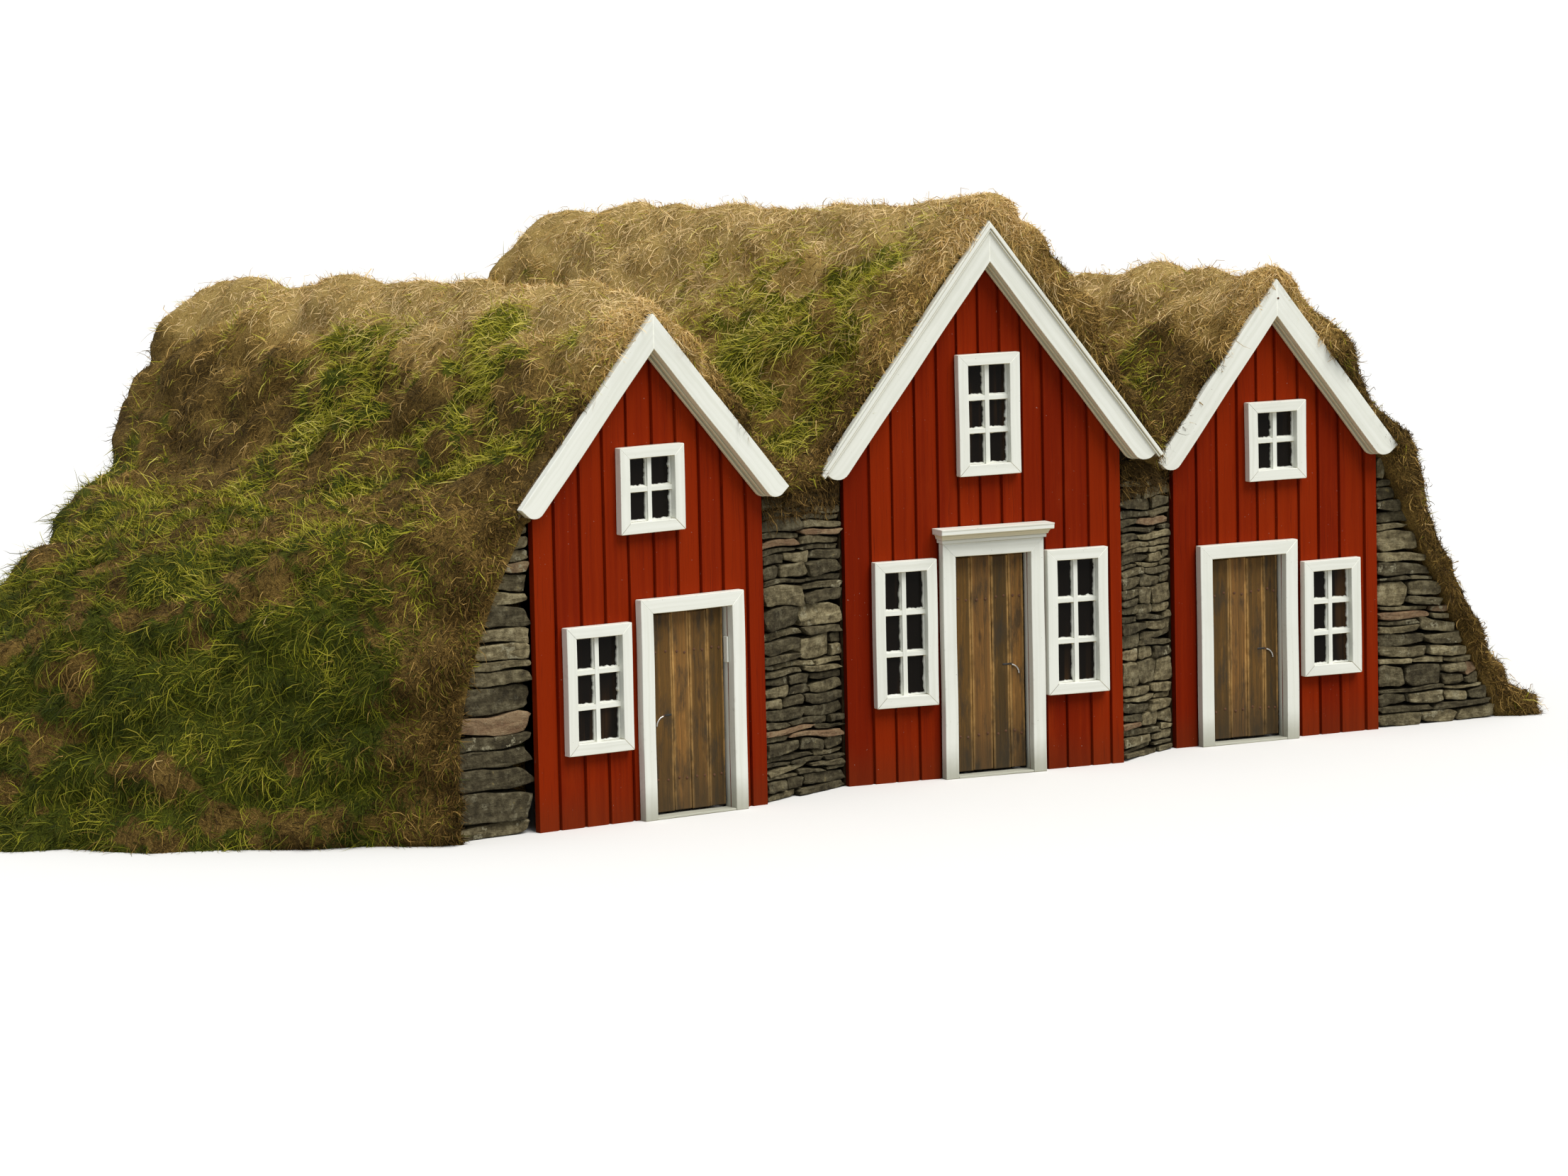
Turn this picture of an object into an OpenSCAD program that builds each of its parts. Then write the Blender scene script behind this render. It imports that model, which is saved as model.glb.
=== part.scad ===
// A miniature turf house: three boarded gable fronts in a row, with dry stone
// between them and turf over the roofs, the outer walls and the back.
// The origin is on the ground under the middle of the middle front. X runs to
// the right along the row, Y runs back along the ridges and Z is up.

/* [Ground plan] */
// Distance of the left front from the middle front
left_x = 1065; // [1060:5:1110]
// Distance of the right front from the middle front
right_x = 935; // [930:5:990]
// How far the left front stands forward of the row's line
left_forward = 40; // [20:5:60]
// How far the right front stands behind the row's line
right_back = 5; // [0:5:20]
// Turn of the left front out of the row's line
left_turn = 1; // [0:0.5:2]
// Turn of the middle front out of the row's line
middle_turn = -10; // [-12:0.5:-8]
// Turn of the right front out of the row's line
right_turn = -7.5; // [-9:0.5:-6]
// Distance from the row's line to the back wall of the rooms
room_length = 1900; // [1700:20:2100]
// How far the fronts' edges lap over the side walls of the rooms
wall_lap = 40; // [35:1:50]

/* [Left house] */
// Width of the boarded front
left_w = 684; // [670:2:690]
// Distance of the boarded front's middle from the ridge
left_shift = 5; // [0:1:8]
// Height of the barge boards' tip
left_apex = 1273; // [1260:1:1290]
// Roof pitch in degrees
left_pitch = 49; // [48:0.5:50]
// Half of the width over the barge boards' lower ends
left_span = 400; // [396:1:406]
// Width of a barge board
left_barge_w = 58; // [54:1:64]
// Middle of the doorway, right of the ridge
left_door_u = 115; // [110:1:120]
// Width of the doorway
left_door_w = 238; // [230:1:244]
// Height of the doorway
left_door_h = 521; // [515:1:530]
// Middle of the lower window, right of the ridge
left_low_u = -164; // [-170:1:-160]
// Width of the lower window's glass
left_low_w = 135; // [130:1:140]
// Height of the lower window's sill above the ground
left_low_sill = 214; // [200:1:230]
// Height of the lower window's glass
left_low_h = 263; // [250:1:268]
// Middle of the upper window, right of the ridge
left_up_u = 5; // [0:1:10]
// Width of the upper window's glass
left_up_w = 134; // [128:1:140]
// Height of the upper window's sill above the ground
left_up_sill = 754; // [740:1:764]
// Height of the upper window's glass
left_up_h = 159; // [150:1:165]
// Height of the turf's ridge above the barge boards' tip
left_turf_over = 71; // [58:1:80]

/* [Middle house] */
// Width of the boarded front
middle_w = 792; // [780:2:800]
// Distance of the boarded front's middle from the ridge
middle_shift = -7; // [-10:1:0]
// Height of the barge boards' tip
middle_apex = 1447; // [1435:1:1460]
// Roof pitch in degrees
middle_pitch = 52; // [51:0.5:53]
// Half of the width over the barge boards' lower ends
middle_span = 484; // [478:1:488]
// Width of a barge board
middle_barge_w = 66; // [60:1:70]
// Middle of the doorway, right of the ridge
middle_door_u = 7; // [4:1:10]
// Width of the doorway
middle_door_w = 216; // [210:1:220]
// Height of the doorway
middle_door_h = 579; // [572:1:584]
// Middle of the lower left window, right of the ridge
middle_low_u = -242; // [-246:1:-239]
// Middle of the lower right window, right of the ridge
middle_right_u = 251; // [249:1:255]
// Width of the lower windows' glass
middle_low_w = 118; // [114:1:122]
// Height of the lower windows' sills above the ground
middle_low_sill = 227; // [215:1:235]
// Height of the lower windows' glass
middle_low_h = 323; // [310:1:328]
// Middle of the upper window, right of the ridge
middle_up_u = 5; // [0:1:10]
// Width of the upper window's glass
middle_up_w = 118; // [112:1:124]
// Height of the upper window's sill above the ground
middle_up_sill = 815; // [800:1:825]
// Height of the upper window's glass
middle_up_h = 257; // [248:1:262]
// Height of the turf's ridge above the barge boards' tip
middle_turf_over = 36; // [30:1:48]

/* [Right house] */
// Width of the boarded front
right_w = 628; // [620:2:634]
// Distance of the boarded front's middle from the ridge
right_shift = 17; // [12:1:20]
// Height of the barge boards' tip
right_apex = 1242; // [1230:1:1255]
// Roof pitch in degrees
right_pitch = 51.5; // [50.5:0.5:52.5]
// Half of the width over the barge boards' lower ends
right_span = 371; // [368:1:376]
// Width of a barge board
right_barge_w = 62; // [58:1:66]
// Middle of the doorway, right of the ridge
right_door_u = -81; // [-86:1:-77]
// Width of the doorway
right_door_w = 225; // [220:1:230]
// Height of the doorway
right_door_h = 502; // [496:1:508]
// Middle of the lower window, right of the ridge
right_low_u = 178; // [174:1:184]
// Width of the lower window's glass
right_low_w = 119; // [114:1:124]
// Height of the lower window's sill above the ground
right_low_sill = 193; // [184:1:200]
// Height of the lower window's glass
right_low_h = 254; // [246:1:262]
// Middle of the upper window, right of the ridge
right_up_u = 12; // [6:1:16]
// Width of the upper window's glass
right_up_w = 120; // [114:1:126]
// Height of the upper window's sill above the ground
right_up_sill = 730; // [720:1:740]
// Height of the upper window's glass
right_up_h = 154; // [146:1:160]
// Height of the turf's ridge above the barge boards' tip
right_turf_over = 15; // [10:1:30]

/* [Boards and frames] */
// Thickness of the fronts' boards
board_t = 22; // [18:1:26]
// Width of the window frames' laths
lath_w = 29; // [24:1:30]
// Thickness of the window frames' laths
lath_t = 24; // [20:1:30]
// Thickness of a pane
pane_t = 4; // [3:1:5]
// Depth of a pane behind the face of the boards
pane_in = 3; // [2:1:6]
// Width of the door casings' laths
casing_w = 37; // [34:1:39]
// Thickness of the door casings' laths
casing_t = 26; // [22:1:30]
// Height of the sill between the feet of a door casing
sill_h = 6; // [4:0.5:6]
// Thickness of a barge board
barge_t = 22; // [18:1:26]
// How far the roof boards run out past the fronts' boards
verge = 28; // [24:1:34]
// Thickness of the roof boards
deck_t = 18; // [14:1:22]
// How far the barge boards stand above the roof boards
barge_up = 6; // [4:1:10]

/* [Middle door's cornice] */
// Height of the cornice
cornice_h = 39; // [33:3:45]
// How far the top of the cornice runs out past the casing's sides
cornice_side = 17; // [14:1:22]
// How far the top of the cornice stands out from the boards
cornice_out = 60; // [52:1:70]
// Width of the strip along the top of the middle barge boards
cap_w = 18; // [14:1:24]
// Thickness of the strip along the top of the middle barge boards
cap_t = 14; // [10:1:18]

/* [Doors] */
// Thickness of the door planks
door_t = 20; // [16:1:22]
// Depth of the doors' face behind the face of the boards
door_in = 10; // [8:1:14]
// Gap round a door
door_gap = 6.5; // [6:0.5:8]
// Gap under a door
door_foot = 12; // [12:1:16]
// Height of a door's upper ledge, as a share of the doorway's height
ledge_high = 0.8; // [0.76:0.01:0.84]
// Height of a door's lower ledge, as a share of the doorway's height
ledge_low = 0.18; // [0.15:0.01:0.22]
// Width of a ledge
ledge_w = 45; // [40:1:52]
// Thickness of a ledge
ledge_t = 12; // [10:1:14]
// Height of the latch hook, as a share of the doorway's height
latch_high = 0.49; // [0.46:0.01:0.52]
// Radius of the latch hook's bend
latch_r = 24; // [20:1:28]
// Thickness of the latch hook
latch_d = 4; // [3.5:0.5:5]
// Distance of the latch hook from the door's free edge
latch_edge = 42; // [38:1:50]

/* [Hinges] */
// Diameter of a hinge pin
pin_d = 5; // [4:0.5:6]
// Outer diameter of a hinge eye
eye_d = 12; // [11:0.5:14]
// Height of a hinge eye
eye_h = 20; // [18:1:26]
// Gap between a hinge pin and its eye, on the radius
pin_gap = 0.2; // [0.15:0.05:0.3]
// Length of a hinge strap
strap_l = 110; // [90:2:130]
// Thickness of a hinge strap
strap_t = 3; // [2.5:0.5:4]
// Length of the plate that carries a hinge pin
plate_l = 30; // [26:1:32]

/* [Stone walls] */
// Distance of the stone faces' top below the edges of the roof boards over them
stone_below = 12; // [10:1:30]
// Thickness of the stone faces
stone_t = 120; // [100:5:140]
// Depth of the stone faces behind the face of the boards
stone_in = 14; // [10:1:20]
// Gap between the stone faces and the boards' edges
stone_gap = 6; // [4:1:9]
// Width of the left stone face at the ground
stone_left_w = 242; // [230:2:250]
// Width of the right stone face at the ground
stone_right_w = 392; // [380:2:400]
// Width of the end stone faces at their top
stone_top_w = 12; // [10:1:16]

/* [Turf] */
// Height of a valley above the higher edge of the roof boards beside it
valley_over = 23; // [16:1:36]
// Height of the turf's left edge above the edge of the left roof boards
edge_over_left = -14; // [-20:1:0]
// Height of the turf's right edge above the edge of the right roof boards
edge_over_right = 23; // [14:1:36]
// Distance of the turf's left edge from the left ridge
edge_left = 450; // [440:1:470]
// Distance of the turf's right edge from the right ridge
edge_right = 412; // [405:1:425]
// Distance of the turf's left foot from the left ridge, at the front
foot_left = 610; // [605:5:640]
// Distance of the turf's right foot from the right ridge, at the front
foot_right = 885; // [870:5:900]
// How far the turf's left foot swings out behind the front
foot_left_out = 1000; // [900:10:1100]
// How far the turf's right foot swings out behind the front
foot_right_out = 430; // [380:10:480]
// Distance behind the front at which the feet have swung out furthest
foot_run = 1000; // [950:10:1050]
// Thickness of the back wall behind the outer ridges
back_outer = 660; // [600:10:720]
// Thickness of the back wall behind the middle ridge
back_middle = 500; // [440:10:560]
// Thickness of the back wall behind a valley
back_valley = 380; // [340:10:420]
// Fall of the roofs towards the back, in degrees
roof_fall = 2.85; // [2.3:0.05:3.4]

/* [Hidden] */
$fn = 48;

// Houses are counted 0, 1 and 2 from the left
LEFT = 0;
MIDDLE = 1;
RIGHT = 2;
HOUSES = [LEFT, MIDDLE, RIGHT];
house_x = [-left_x, 0, right_x];
house_y = [-left_forward, 0, right_back];
turn = [left_turn, middle_turn, right_turn];
front_w = [left_w, middle_w, right_w];
shift = [left_shift, middle_shift, right_shift];
apex = [left_apex, middle_apex, right_apex];
pitch = [left_pitch, middle_pitch, right_pitch];
span = [left_span, middle_span, right_span];
barge_w = [left_barge_w, middle_barge_w, right_barge_w];
door_u = [left_door_u, middle_door_u, right_door_u];
door_w = [left_door_w, middle_door_w, right_door_w];
door_h = [left_door_h, middle_door_h, right_door_h];
turf_top = apex + [left_turf_over, middle_turf_over, right_turf_over];
back_ridge = [back_outer, back_middle, back_outer];
// Side on which a door hangs: 1 is the right side and -1 the left
hang = [1, -1, -1];

// Windows of a house as [middle, sill, glass width, glass height], the lower ones first
windows = [
    [[left_low_u, left_low_sill, left_low_w, left_low_h],
     [left_up_u, left_up_sill, left_up_w, left_up_h]],
    [[middle_low_u, middle_low_sill, middle_low_w, middle_low_h],
     [middle_right_u, middle_low_sill, middle_low_w, middle_low_h],
     [middle_up_u, middle_up_sill, middle_up_w, middle_up_h]],
    [[right_low_u, right_low_sill, right_low_w, right_low_h],
     [right_up_u, right_up_sill, right_up_w, right_up_h]]];

// Roof boards, seen along the ridge: the row's line cuts a turned front's roof wider.
// Heights are given at y = 0, and all roofs fall evenly towards the back.
function slope(k) = tan(pitch[k]);
function deck_drop(k) = deck_t / cos(pitch[k]);
function deck_top(k, u) = apex[k] - barge_up - slope(k) * abs(u);
function deck_under(k, u) = deck_top(k, u) - deck_drop(k);
deck_in = 6;
function deck_span(k) = span[k] - deck_in;
function down(y) = y * tan(roof_fall);
function deck_edge(k) = deck_top(k, deck_span(k));
function deck_edge_under(k) = deck_under(k, deck_span(k));
// Half width of a room and of its roof boards in the row's frame
function room_u(k, side) = side * (front_w[k] / 2 - wall_lap) + shift[k];
function room_x(k, side) = house_x[k] + room_u(k, side) * cos(turn[k]);
function deck_x(k, side) = house_x[k] + side * deck_span(k) * cos(turn[k]);

// Point of a front's face in the row's frame
function front_point(k, u, back = 0) = [
    house_x[k] + u * cos(turn[k]) - back * sin(turn[k]),
    house_y[k] + u * sin(turn[k]) + back * cos(turn[k])];
function front_edge(k, side) = side * front_w[k] / 2 + shift[k];

// The fronts' line in plan, from the left end of the left roof to the right end of the right
front_line = [for (k = HOUSES, side = [-1, 1]) front_point(k, side * span[k])];
function front_y(x) = lookup(x, front_line);

// Valleys run half way between the roof boards of two houses
valley_x = [for (k = [LEFT, MIDDLE]) (deck_x(k, 1) + deck_x(k + 1, -1)) / 2];
function valley_h(k) = max(deck_edge(k), deck_edge(k + 1)) + valley_over;
function valley_under(k) = (deck_edge_under(k) + deck_edge_under(k + 1)) / 2;

// Turf: t runs from 0 at the front to 1 at the back wall of the rooms. A section is a
// list of [x, z] points with z as it would be at y = 0.
turf_lip = 18;
turf_seat = 0.3;
turf_steps = [0, 0.03, 0.07, 0.12, 0.18, 0.26, 0.36, 0.46, 0.56, 0.66, 0.76, 0.86, 0.94, 1];
roof_rows = 9;
eave_rows = 3;
flank_rows = 10;
// Rounding of the ridges, and what is added to their height right at the front
ridge_round = [40, 60, 40];
ridge_lift = [-46, 22, 0];
lift_share = 0.06;
eave_cover = [80, 92, 60];
valley_power = 5;
seam_share = 0.25;
left_power_front = 1.1;
left_power_more = 2.1;
left_power_rate = 8;
right_power = 1.55;

function turf_y(x, t) =
    front_y(x) - turf_lip + (room_length - front_y(x) + turf_lip) * t;
function rounded(k, dx) = sqrt(dx * dx + ridge_round[k] * ridge_round[k]) - ridge_round[k];
function turf_slope(k) =
    (turf_top[k] - deck_edge(k) - eave_cover[k])
    / rounded(k, deck_span(k) * cos(turn[k]));

// Where the turf of a roof ends on one side, outside and inside: [x, z]
function is_end(k, side) = (side < 0 && k == LEFT) || (side > 0 && k == RIGHT);
function valley(k, side) = side < 0 ? k - 1 : k;
function edge_point(k, side) =
    let (v = valley(k, side))
    !is_end(k, side) ? [valley_x[v], valley_h(v)] :
    [house_x[k] + side * (side < 0 ? edge_left : edge_right),
     deck_edge(k) + (side < 0 ? edge_over_left : edge_over_right)];
function edge_under(k, side) =
    let (e = edge_point(k, side))
    !is_end(k, side) ? [e.x, valley_under(valley(k, side))] :
    [e.x, e.y + (deck_edge_under(k) - e.y) * seam_share];

// Outside of a roof's turf from its ridge to one edge, q from 0 to 1. Beyond the roof
// boards it eases into the height of the valley or edge.
function roof_height(k, dx, reach, end_z, t) =
    let (ease = pow(abs(dx) / reach, valley_power),
         z = turf_top[k] + ridge_lift[k] * exp(-t / lift_share)
             - turf_slope(k) * rounded(k, dx))
    z * (1 - ease) + end_z * ease;
function reversed(list) = [for (i = [len(list) - 1 : -1 : 0]) list[i]];
function reach(k, side) = abs(edge_point(k, side).x - house_x[k]);
function roof_steps(k, side) =
    let (inner = abs(deck_x(k, side) - house_x[k]))
    concat([for (i = [1 : roof_rows]) inner * i / roof_rows],
        [for (i = [0 : eave_rows])
            inner + turf_seat + (reach(k, side) - inner - turf_seat) * i / eave_rows]);
function roof_half(k, side, t) = [for (dx = roof_steps(k, side))
    [house_x[k] + side * dx,
     roof_height(k, dx, reach(k, side), edge_point(k, side).y, t)]];
function roof_outside(k, t) = concat(reversed(roof_half(k, -1, t)),
    [[house_x[k], roof_height(k, 0, 1, 0, t)]], roof_half(k, 1, t));
// Inside of a roof's turf: on the roof boards, then from their edge to the turf's edge
function roof_under_half(k, side) =
    let (e = edge_under(k, side), inner = abs(deck_x(k, side) - house_x[k]))
    [for (dx = roof_steps(k, side))
        [house_x[k] + side * dx,
         dx <= inner ? deck_top(k, dx / cos(turn[k])) + turf_seat :
         turf_seat + lookup(dx, [[inner + turf_seat, deck_edge_under(k)],
             [reach(k, side), e.y]])]];
function roof_inside(k) = concat(reversed(roof_under_half(k, 1)),
    [[house_x[k], deck_top(k, 0) + turf_seat]], roof_under_half(k, -1));

// Foot of the outer turf walls: it swings out from the front and back in again
function foot_x(side, y) =
    let (k = side < 0 ? LEFT : RIGHT, swing = sin(90 * (y - front_y(house_x[k])) / foot_run))
    house_x[k] + (side < 0 ? -foot_left - foot_left_out * swing :
        foot_right + foot_right_out * swing);
function flank_power(side, t) = side > 0 ? right_power :
    left_power_front + left_power_more * (1 - exp(-left_power_rate * t));
// The right wall's slope is hollow, the left one's bulges behind the front
function flank_fade(side, r, t) = side > 0 ? pow(1 - r, right_power) :
    1 - pow(r, flank_power(side, t));
function flank_outside(side, t) =
    let (k = side < 0 ? LEFT : RIGHT, e = edge_point(k, side), y = turf_y(e.x, t),
         f = foot_x(side, y))
    [for (i = [0 : flank_rows]) let (r = i / flank_rows)
        [e.x + (f - e.x) * r, (e.y - down(y)) * flank_fade(side, r, t) + down(y)]];
function flank_inside(side, t) =
    let (k = side < 0 ? LEFT : RIGHT) [
        [room_x(k, side), down(turf_y(room_x(k, side), t))],
        [room_x(k, side), deck_under(k, abs(room_u(k, side))) - turf_seat],
        [deck_x(k, side), deck_edge_under(k) - turf_seat],
        edge_under(k, side)];

// Closed solid through sections of [x, z] points, one section for each of the turf's steps.
// In strips, the ends are closed between points of outside and inside that share their x.
module loft(sections, flip = false, strips = false) {
    n = len(sections[0]);
    m = len(sections);
    points = [for (j = [0 : m - 1], i = [0 : n - 1])
        let (p = sections[j][i], y = turf_y(p.x, turf_steps[j])) [p.x, y, p.y - down(y)]];
    sides = [for (j = [0 : m - 2], i = [0 : n - 1])
        [j * n + i, j * n + (i + 1) % n, (j + 1) * n + (i + 1) % n, (j + 1) * n + i]];
    rings = strips ? [for (i = [0 : n / 2 - 2]) [i, i + 1, n - 2 - i, n - 1 - i]] :
        [[for (i = [0 : n - 1]) i]];
    faces = concat([for (r = rings) reversed(r)], sides,
        [for (r = rings) [for (i = r) (m - 1) * n + i]]);
    polyhedron(points, flip ? [for (f = faces) reversed(f)] : faces, convexity = 6);
}

module at_front(k) translate([house_x[k], house_y[k], 0]) rotate(turn[k]) children();

// Flat shape drawn on a front's face, from depth back to depth back + thick
module on_front(k, back, thick)
    at_front(k) translate([0, back + thick, 0]) rotate([90, 0, 0])
        linear_extrude(thick) children();

// Profile in the row's cross plane, drawn back along the falling roofs, up to the back wall
module along_roofs(from_y) intersection() {
    rotate([-roof_fall, 0, 0]) translate([0, 2 * room_length, 0]) rotate([90, 0, 0])
        linear_extrude(2 * room_length - from_y) children();
    translate([-2 * left_x, 2 * from_y, 0])
        cube([2 * left_x + 2 * right_x, room_length - turf_seat - 2 * from_y,
            2 * middle_apex]);
}
function leaned(points) = [for (p = points) [p.x, p.y * cos(roof_fall)]];

module flank(side) {
    k = side < 0 ? LEFT : RIGHT;
    color("olivedrab") difference() {
        loft([for (t = turf_steps) concat(flank_inside(side, t), flank_outside(side, t))],
            side > 0);
        on_front(k, -stone_t, stone_t + stone_in + stone_t) stone_outline(side);
        // Room for the edge of the boarded front
        on_front(k, -stone_t, stone_t + board_t)
            translate([side < 0 ? front_edge(k, -1) - stone_gap : 0, 0])
                square([abs(front_edge(k, side)) + stone_gap, apex[k]]);
    }
}

// Outline of an end stone face, which narrows upwards beside the boards
module stone_outline(side) {
    k = side < 0 ? LEFT : RIGHT;
    from = front_edge(k, side) + side * stone_gap;
    foot = side < 0 ? stone_left_w : stone_right_w;
    high = deck_edge_under(k) - stone_below;
    polygon([[from, 0], [from + side * foot, 0],
        [from + side * stone_top_w, high], [from, high]]);
}
module end_stone_face(side) {
    k = side < 0 ? LEFT : RIGHT;
    color("dimgray") on_front(k, stone_in, stone_t) stone_outline(side);
}

// Plan of the stone face between two fronts
function between_plan(k) =
    let (a = front_point(k, front_edge(k, 1) + stone_gap, stone_in),
         b = front_point(k + 1, front_edge(k + 1, -1) - stone_gap, stone_in))
    [a, b, b + [0, stone_t], a + [0, stone_t]];
function between_h(k) = min(deck_edge_under(k), deck_edge_under(k + 1)) - stone_below;
module between_stone_face(k)
    color("dimgray") linear_extrude(between_h(k)) polygon(between_plan(k));

// Turf and stone wall between two rooms. Its top runs forward over the stone face.
far = 3 * stone_t;
module dividing_wall(k) {
    plan = between_plan(k);
    a = room_x(k, 1);
    b = room_x(k + 1, -1);
    back = board_t + turf_seat;
    left_back = [front_point(k, front_edge(k, 1) - far, back),
        front_point(k, front_edge(k, 1) + stone_gap, back)];
    right_back = [front_point(k + 1, front_edge(k + 1, -1) - stone_gap, back),
        front_point(k + 1, front_edge(k + 1, -1) + far, back)];
    ahead = [[b + far, -far], [a - far, -far]];
    color("saddlebrown") difference() {
        along_roofs(-stone_t) translate([0, -turf_seat]) polygon(leaned([
            [a, -far], [a, deck_under(k, room_u(k, 1))],
            [deck_x(k, 1), deck_edge_under(k)],
            [deck_x(k + 1, -1), deck_edge_under(k + 1)],
            [b, deck_under(k + 1, room_u(k + 1, -1))], [b, -far]]));
        translate([0, 0, -far]) linear_extrude(far + middle_apex)
            polygon(concat(left_back, right_back, ahead));
        translate([0, 0, -far]) linear_extrude(far + between_h(k)) polygon(plan);
    }
}

// Back wall. Its outline is that of the roofs and outer walls where the rooms end.
back_rows = 9;
back_power = 6;
back_outline = concat(
    reversed(flank_outside(-1, 1)),
    [for (k = HOUSES) let (line = roof_outside(k, 1)) for (i = [1 : len(line) - 1]) line[i]],
    [for (i = [1 : flank_rows]) flank_outside(1, 1)[i]]);
function back_deep(x) =
    let (ends = [x - back_outline[0].x, back_outline[len(back_outline) - 1].x - x],
         bumps = [for (k = HOUSES) (back_ridge[k] - back_valley)
             * pow(max(0, cos(90 * min(1, abs(x - house_x[k]) / span[k]))), 1.5)])
    (back_valley + max(bumps)) * sqrt(max(0, min(1, min(ends) / back_valley)));
module back_wall() {
    last = len(back_outline) - 1;
    n = back_rows + 2;
    function column(i) =
        let (p = back_outline[i], deep = back_deep(p.x), top = p.y - down(room_length))
        concat([[p.x, room_length, 0]],
            [for (r = [0 : back_rows]) let (q = sin(90 * r / back_rows))
                [p.x, room_length + deep * q, max(0, top) * (1 - pow(q, back_power))]]);
    inner = [for (i = [1 : last - 1]) each column(i)];
    left_tip = len(inner);
    right_tip = left_tip + 1;
    points = concat(inner, [[back_outline[0].x, room_length, 0],
        [back_outline[last].x, room_length, 0]]);
    sides = [for (i = [0 : last - 3], j = [0 : n - 1])
        [i * n + j, i * n + (j + 1) % n, (i + 1) * n + (j + 1) % n, (i + 1) * n + j]];
    left_fan = [for (j = [0 : n - 1]) [left_tip, (j + 1) % n, j]];
    right_fan = [for (j = [0 : n - 1])
        [right_tip, (last - 2) * n + j, (last - 2) * n + (j + 1) % n]];
    color("olivedrab") polyhedron(points, concat(sides, left_fan, right_fan), convexity = 6);
}

module roof_boards(k) {
    end = deck_x(k, 1) - house_x[k];
    over = verge + board_t + abs(end * tan(turn[k]));
    color("burlywood") difference() {
        along_roofs(-2 * over) translate([house_x[k], 0])
            polygon(leaned([[0, deck_top(k, 0)], [end, deck_edge(k)],
                [end, deck_edge_under(k)], [0, deck_under(k, 0)],
                [-end, deck_edge_under(k)], [-end, deck_edge(k)]]));
        at_front(k) translate([-2 * span[k], -8 * over, 0])
            cube([4 * span[k], 8 * over - verge, 2 * apex[k]]);
    }
}

module roof_turf(k)
    color("darkolivegreen") loft([for (t = turf_steps)
        concat(roof_outside(k, t), roof_inside(k))], true, true);

// Boarded fronts
module window_hole(window) translate([window[0] - window[2] / 2, window[1]])
    square([window[2], window[3]]);
// The front's top clears the roof boards over its face and over its back
function front_top(k, u) = min([for (back = [0, board_t])
    deck_under(k, u - back * tan(turn[k])) - down(front_point(k, u, back).y)]) - turf_seat;
module front_outline(k) polygon([
    [front_edge(k, -1), 0], [front_edge(k, 1), 0],
    [front_edge(k, 1), front_top(k, front_edge(k, 1))],
    [0, front_top(k, 0)],
    [front_edge(k, -1), front_top(k, front_edge(k, -1))]]);
module front_part(k, from, to, low, high)
    color("firebrick") on_front(k, 0, board_t) difference() {
        intersection() {
            front_outline(k);
            translate([from, low]) square([to - from, high - low]);
        }
        for (window = windows[k]) window_hole(window);
    }
module front_beside(k, side)
    front_part(k, side < 0 ? front_edge(k, -1) : door_u[k] + door_w[k] / 2,
        side < 0 ? door_u[k] - door_w[k] / 2 : front_edge(k, 1), 0, door_h[k]);
module front_over(k)
    front_part(k, front_edge(k, -1), front_edge(k, 1), door_h[k], apex[k]);

module in_doorway(k) translate([door_u[k] - door_w[k] / 2, 0]) children();
module door_casing(k) color("whitesmoke") {
    on_front(k, -casing_t, casing_t) in_doorway(k) difference() {
        translate([-casing_w, 0]) square([door_w[k] + 2 * casing_w, door_h[k] + casing_w]);
        translate([0, -casing_w]) square([door_w[k], door_h[k] + casing_w]);
    }
    // The sill runs back to the back of the boards
    on_front(k, -casing_t, casing_t + board_t) in_doorway(k) square([door_w[k], sill_h]);
}

// Cornice: three steps, each wider and further out than the one below
cornice_steps = 3;
module middle_door_cornice() {
    step_h = cornice_h / cornice_steps;
    half = door_w[MIDDLE] / 2 + casing_w;
    color("whitesmoke") at_front(MIDDLE) for (i = [1 : cornice_steps]) {
        share = i / cornice_steps;
        wide = half + cornice_side * share;
        out = casing_t + (cornice_out - casing_t) * share;
        translate([door_u[MIDDLE] - wide, -out, door_h[MIDDLE] + casing_w + step_h * (i - 1)])
            cube([2 * wide, out, step_h]);
    }
}

module window_frames(k) color("whitesmoke") for (window = windows[k])
    on_front(k, -lath_t, lath_t) difference() {
        translate([window[0] - window[2] / 2 - lath_w, window[1] - lath_w])
            square([window[2] + 2 * lath_w, window[3] + 2 * lath_w]);
        window_hole(window);
    }
module glass(k) color("darkslategray") for (window = windows[k])
    on_front(k, pane_in, pane_t) window_hole(window);

// Barge boards: mitred at the tip, with the lower inner corner rounded
barge_corner = 0.6;
module barge_half(k) intersection() {
    translate([0, apex[k]]) rotate(-pitch[k]) {
        long = span[k] / cos(pitch[k]);
        wide = barge_w[k];
        radius = wide * barge_corner;
        translate([-long, -wide]) square([2 * long - radius, wide]);
        translate([long - radius, -wide + radius]) square([radius, wide - radius]);
        translate([long - radius, -wide + radius]) circle(radius);
    }
    square([2 * span[k], 2 * apex[k]]);
}
module barge_boards(k) color("whitesmoke") on_front(k, -verge - barge_t, barge_t) {
    barge_half(k);
    mirror([1, 0]) barge_half(k);
}
// Strip along the top of the middle barge boards, a little longer than they are
cap_over = 12;
module cap_half() intersection() {
    translate([0, apex[MIDDLE]]) rotate(-pitch[MIDDLE])
        translate([-span[MIDDLE], -cap_w])
        square([span[MIDDLE] + span[MIDDLE] / cos(pitch[MIDDLE]) + cap_over, cap_w]);
    square([2 * span[MIDDLE], 2 * apex[MIDDLE]]);
}
module middle_barge_cap() color("whitesmoke")
    on_front(MIDDLE, -verge - barge_t - cap_t, cap_t) {
        cap_half();
        mirror([1, 0]) cap_half();
    }

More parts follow.
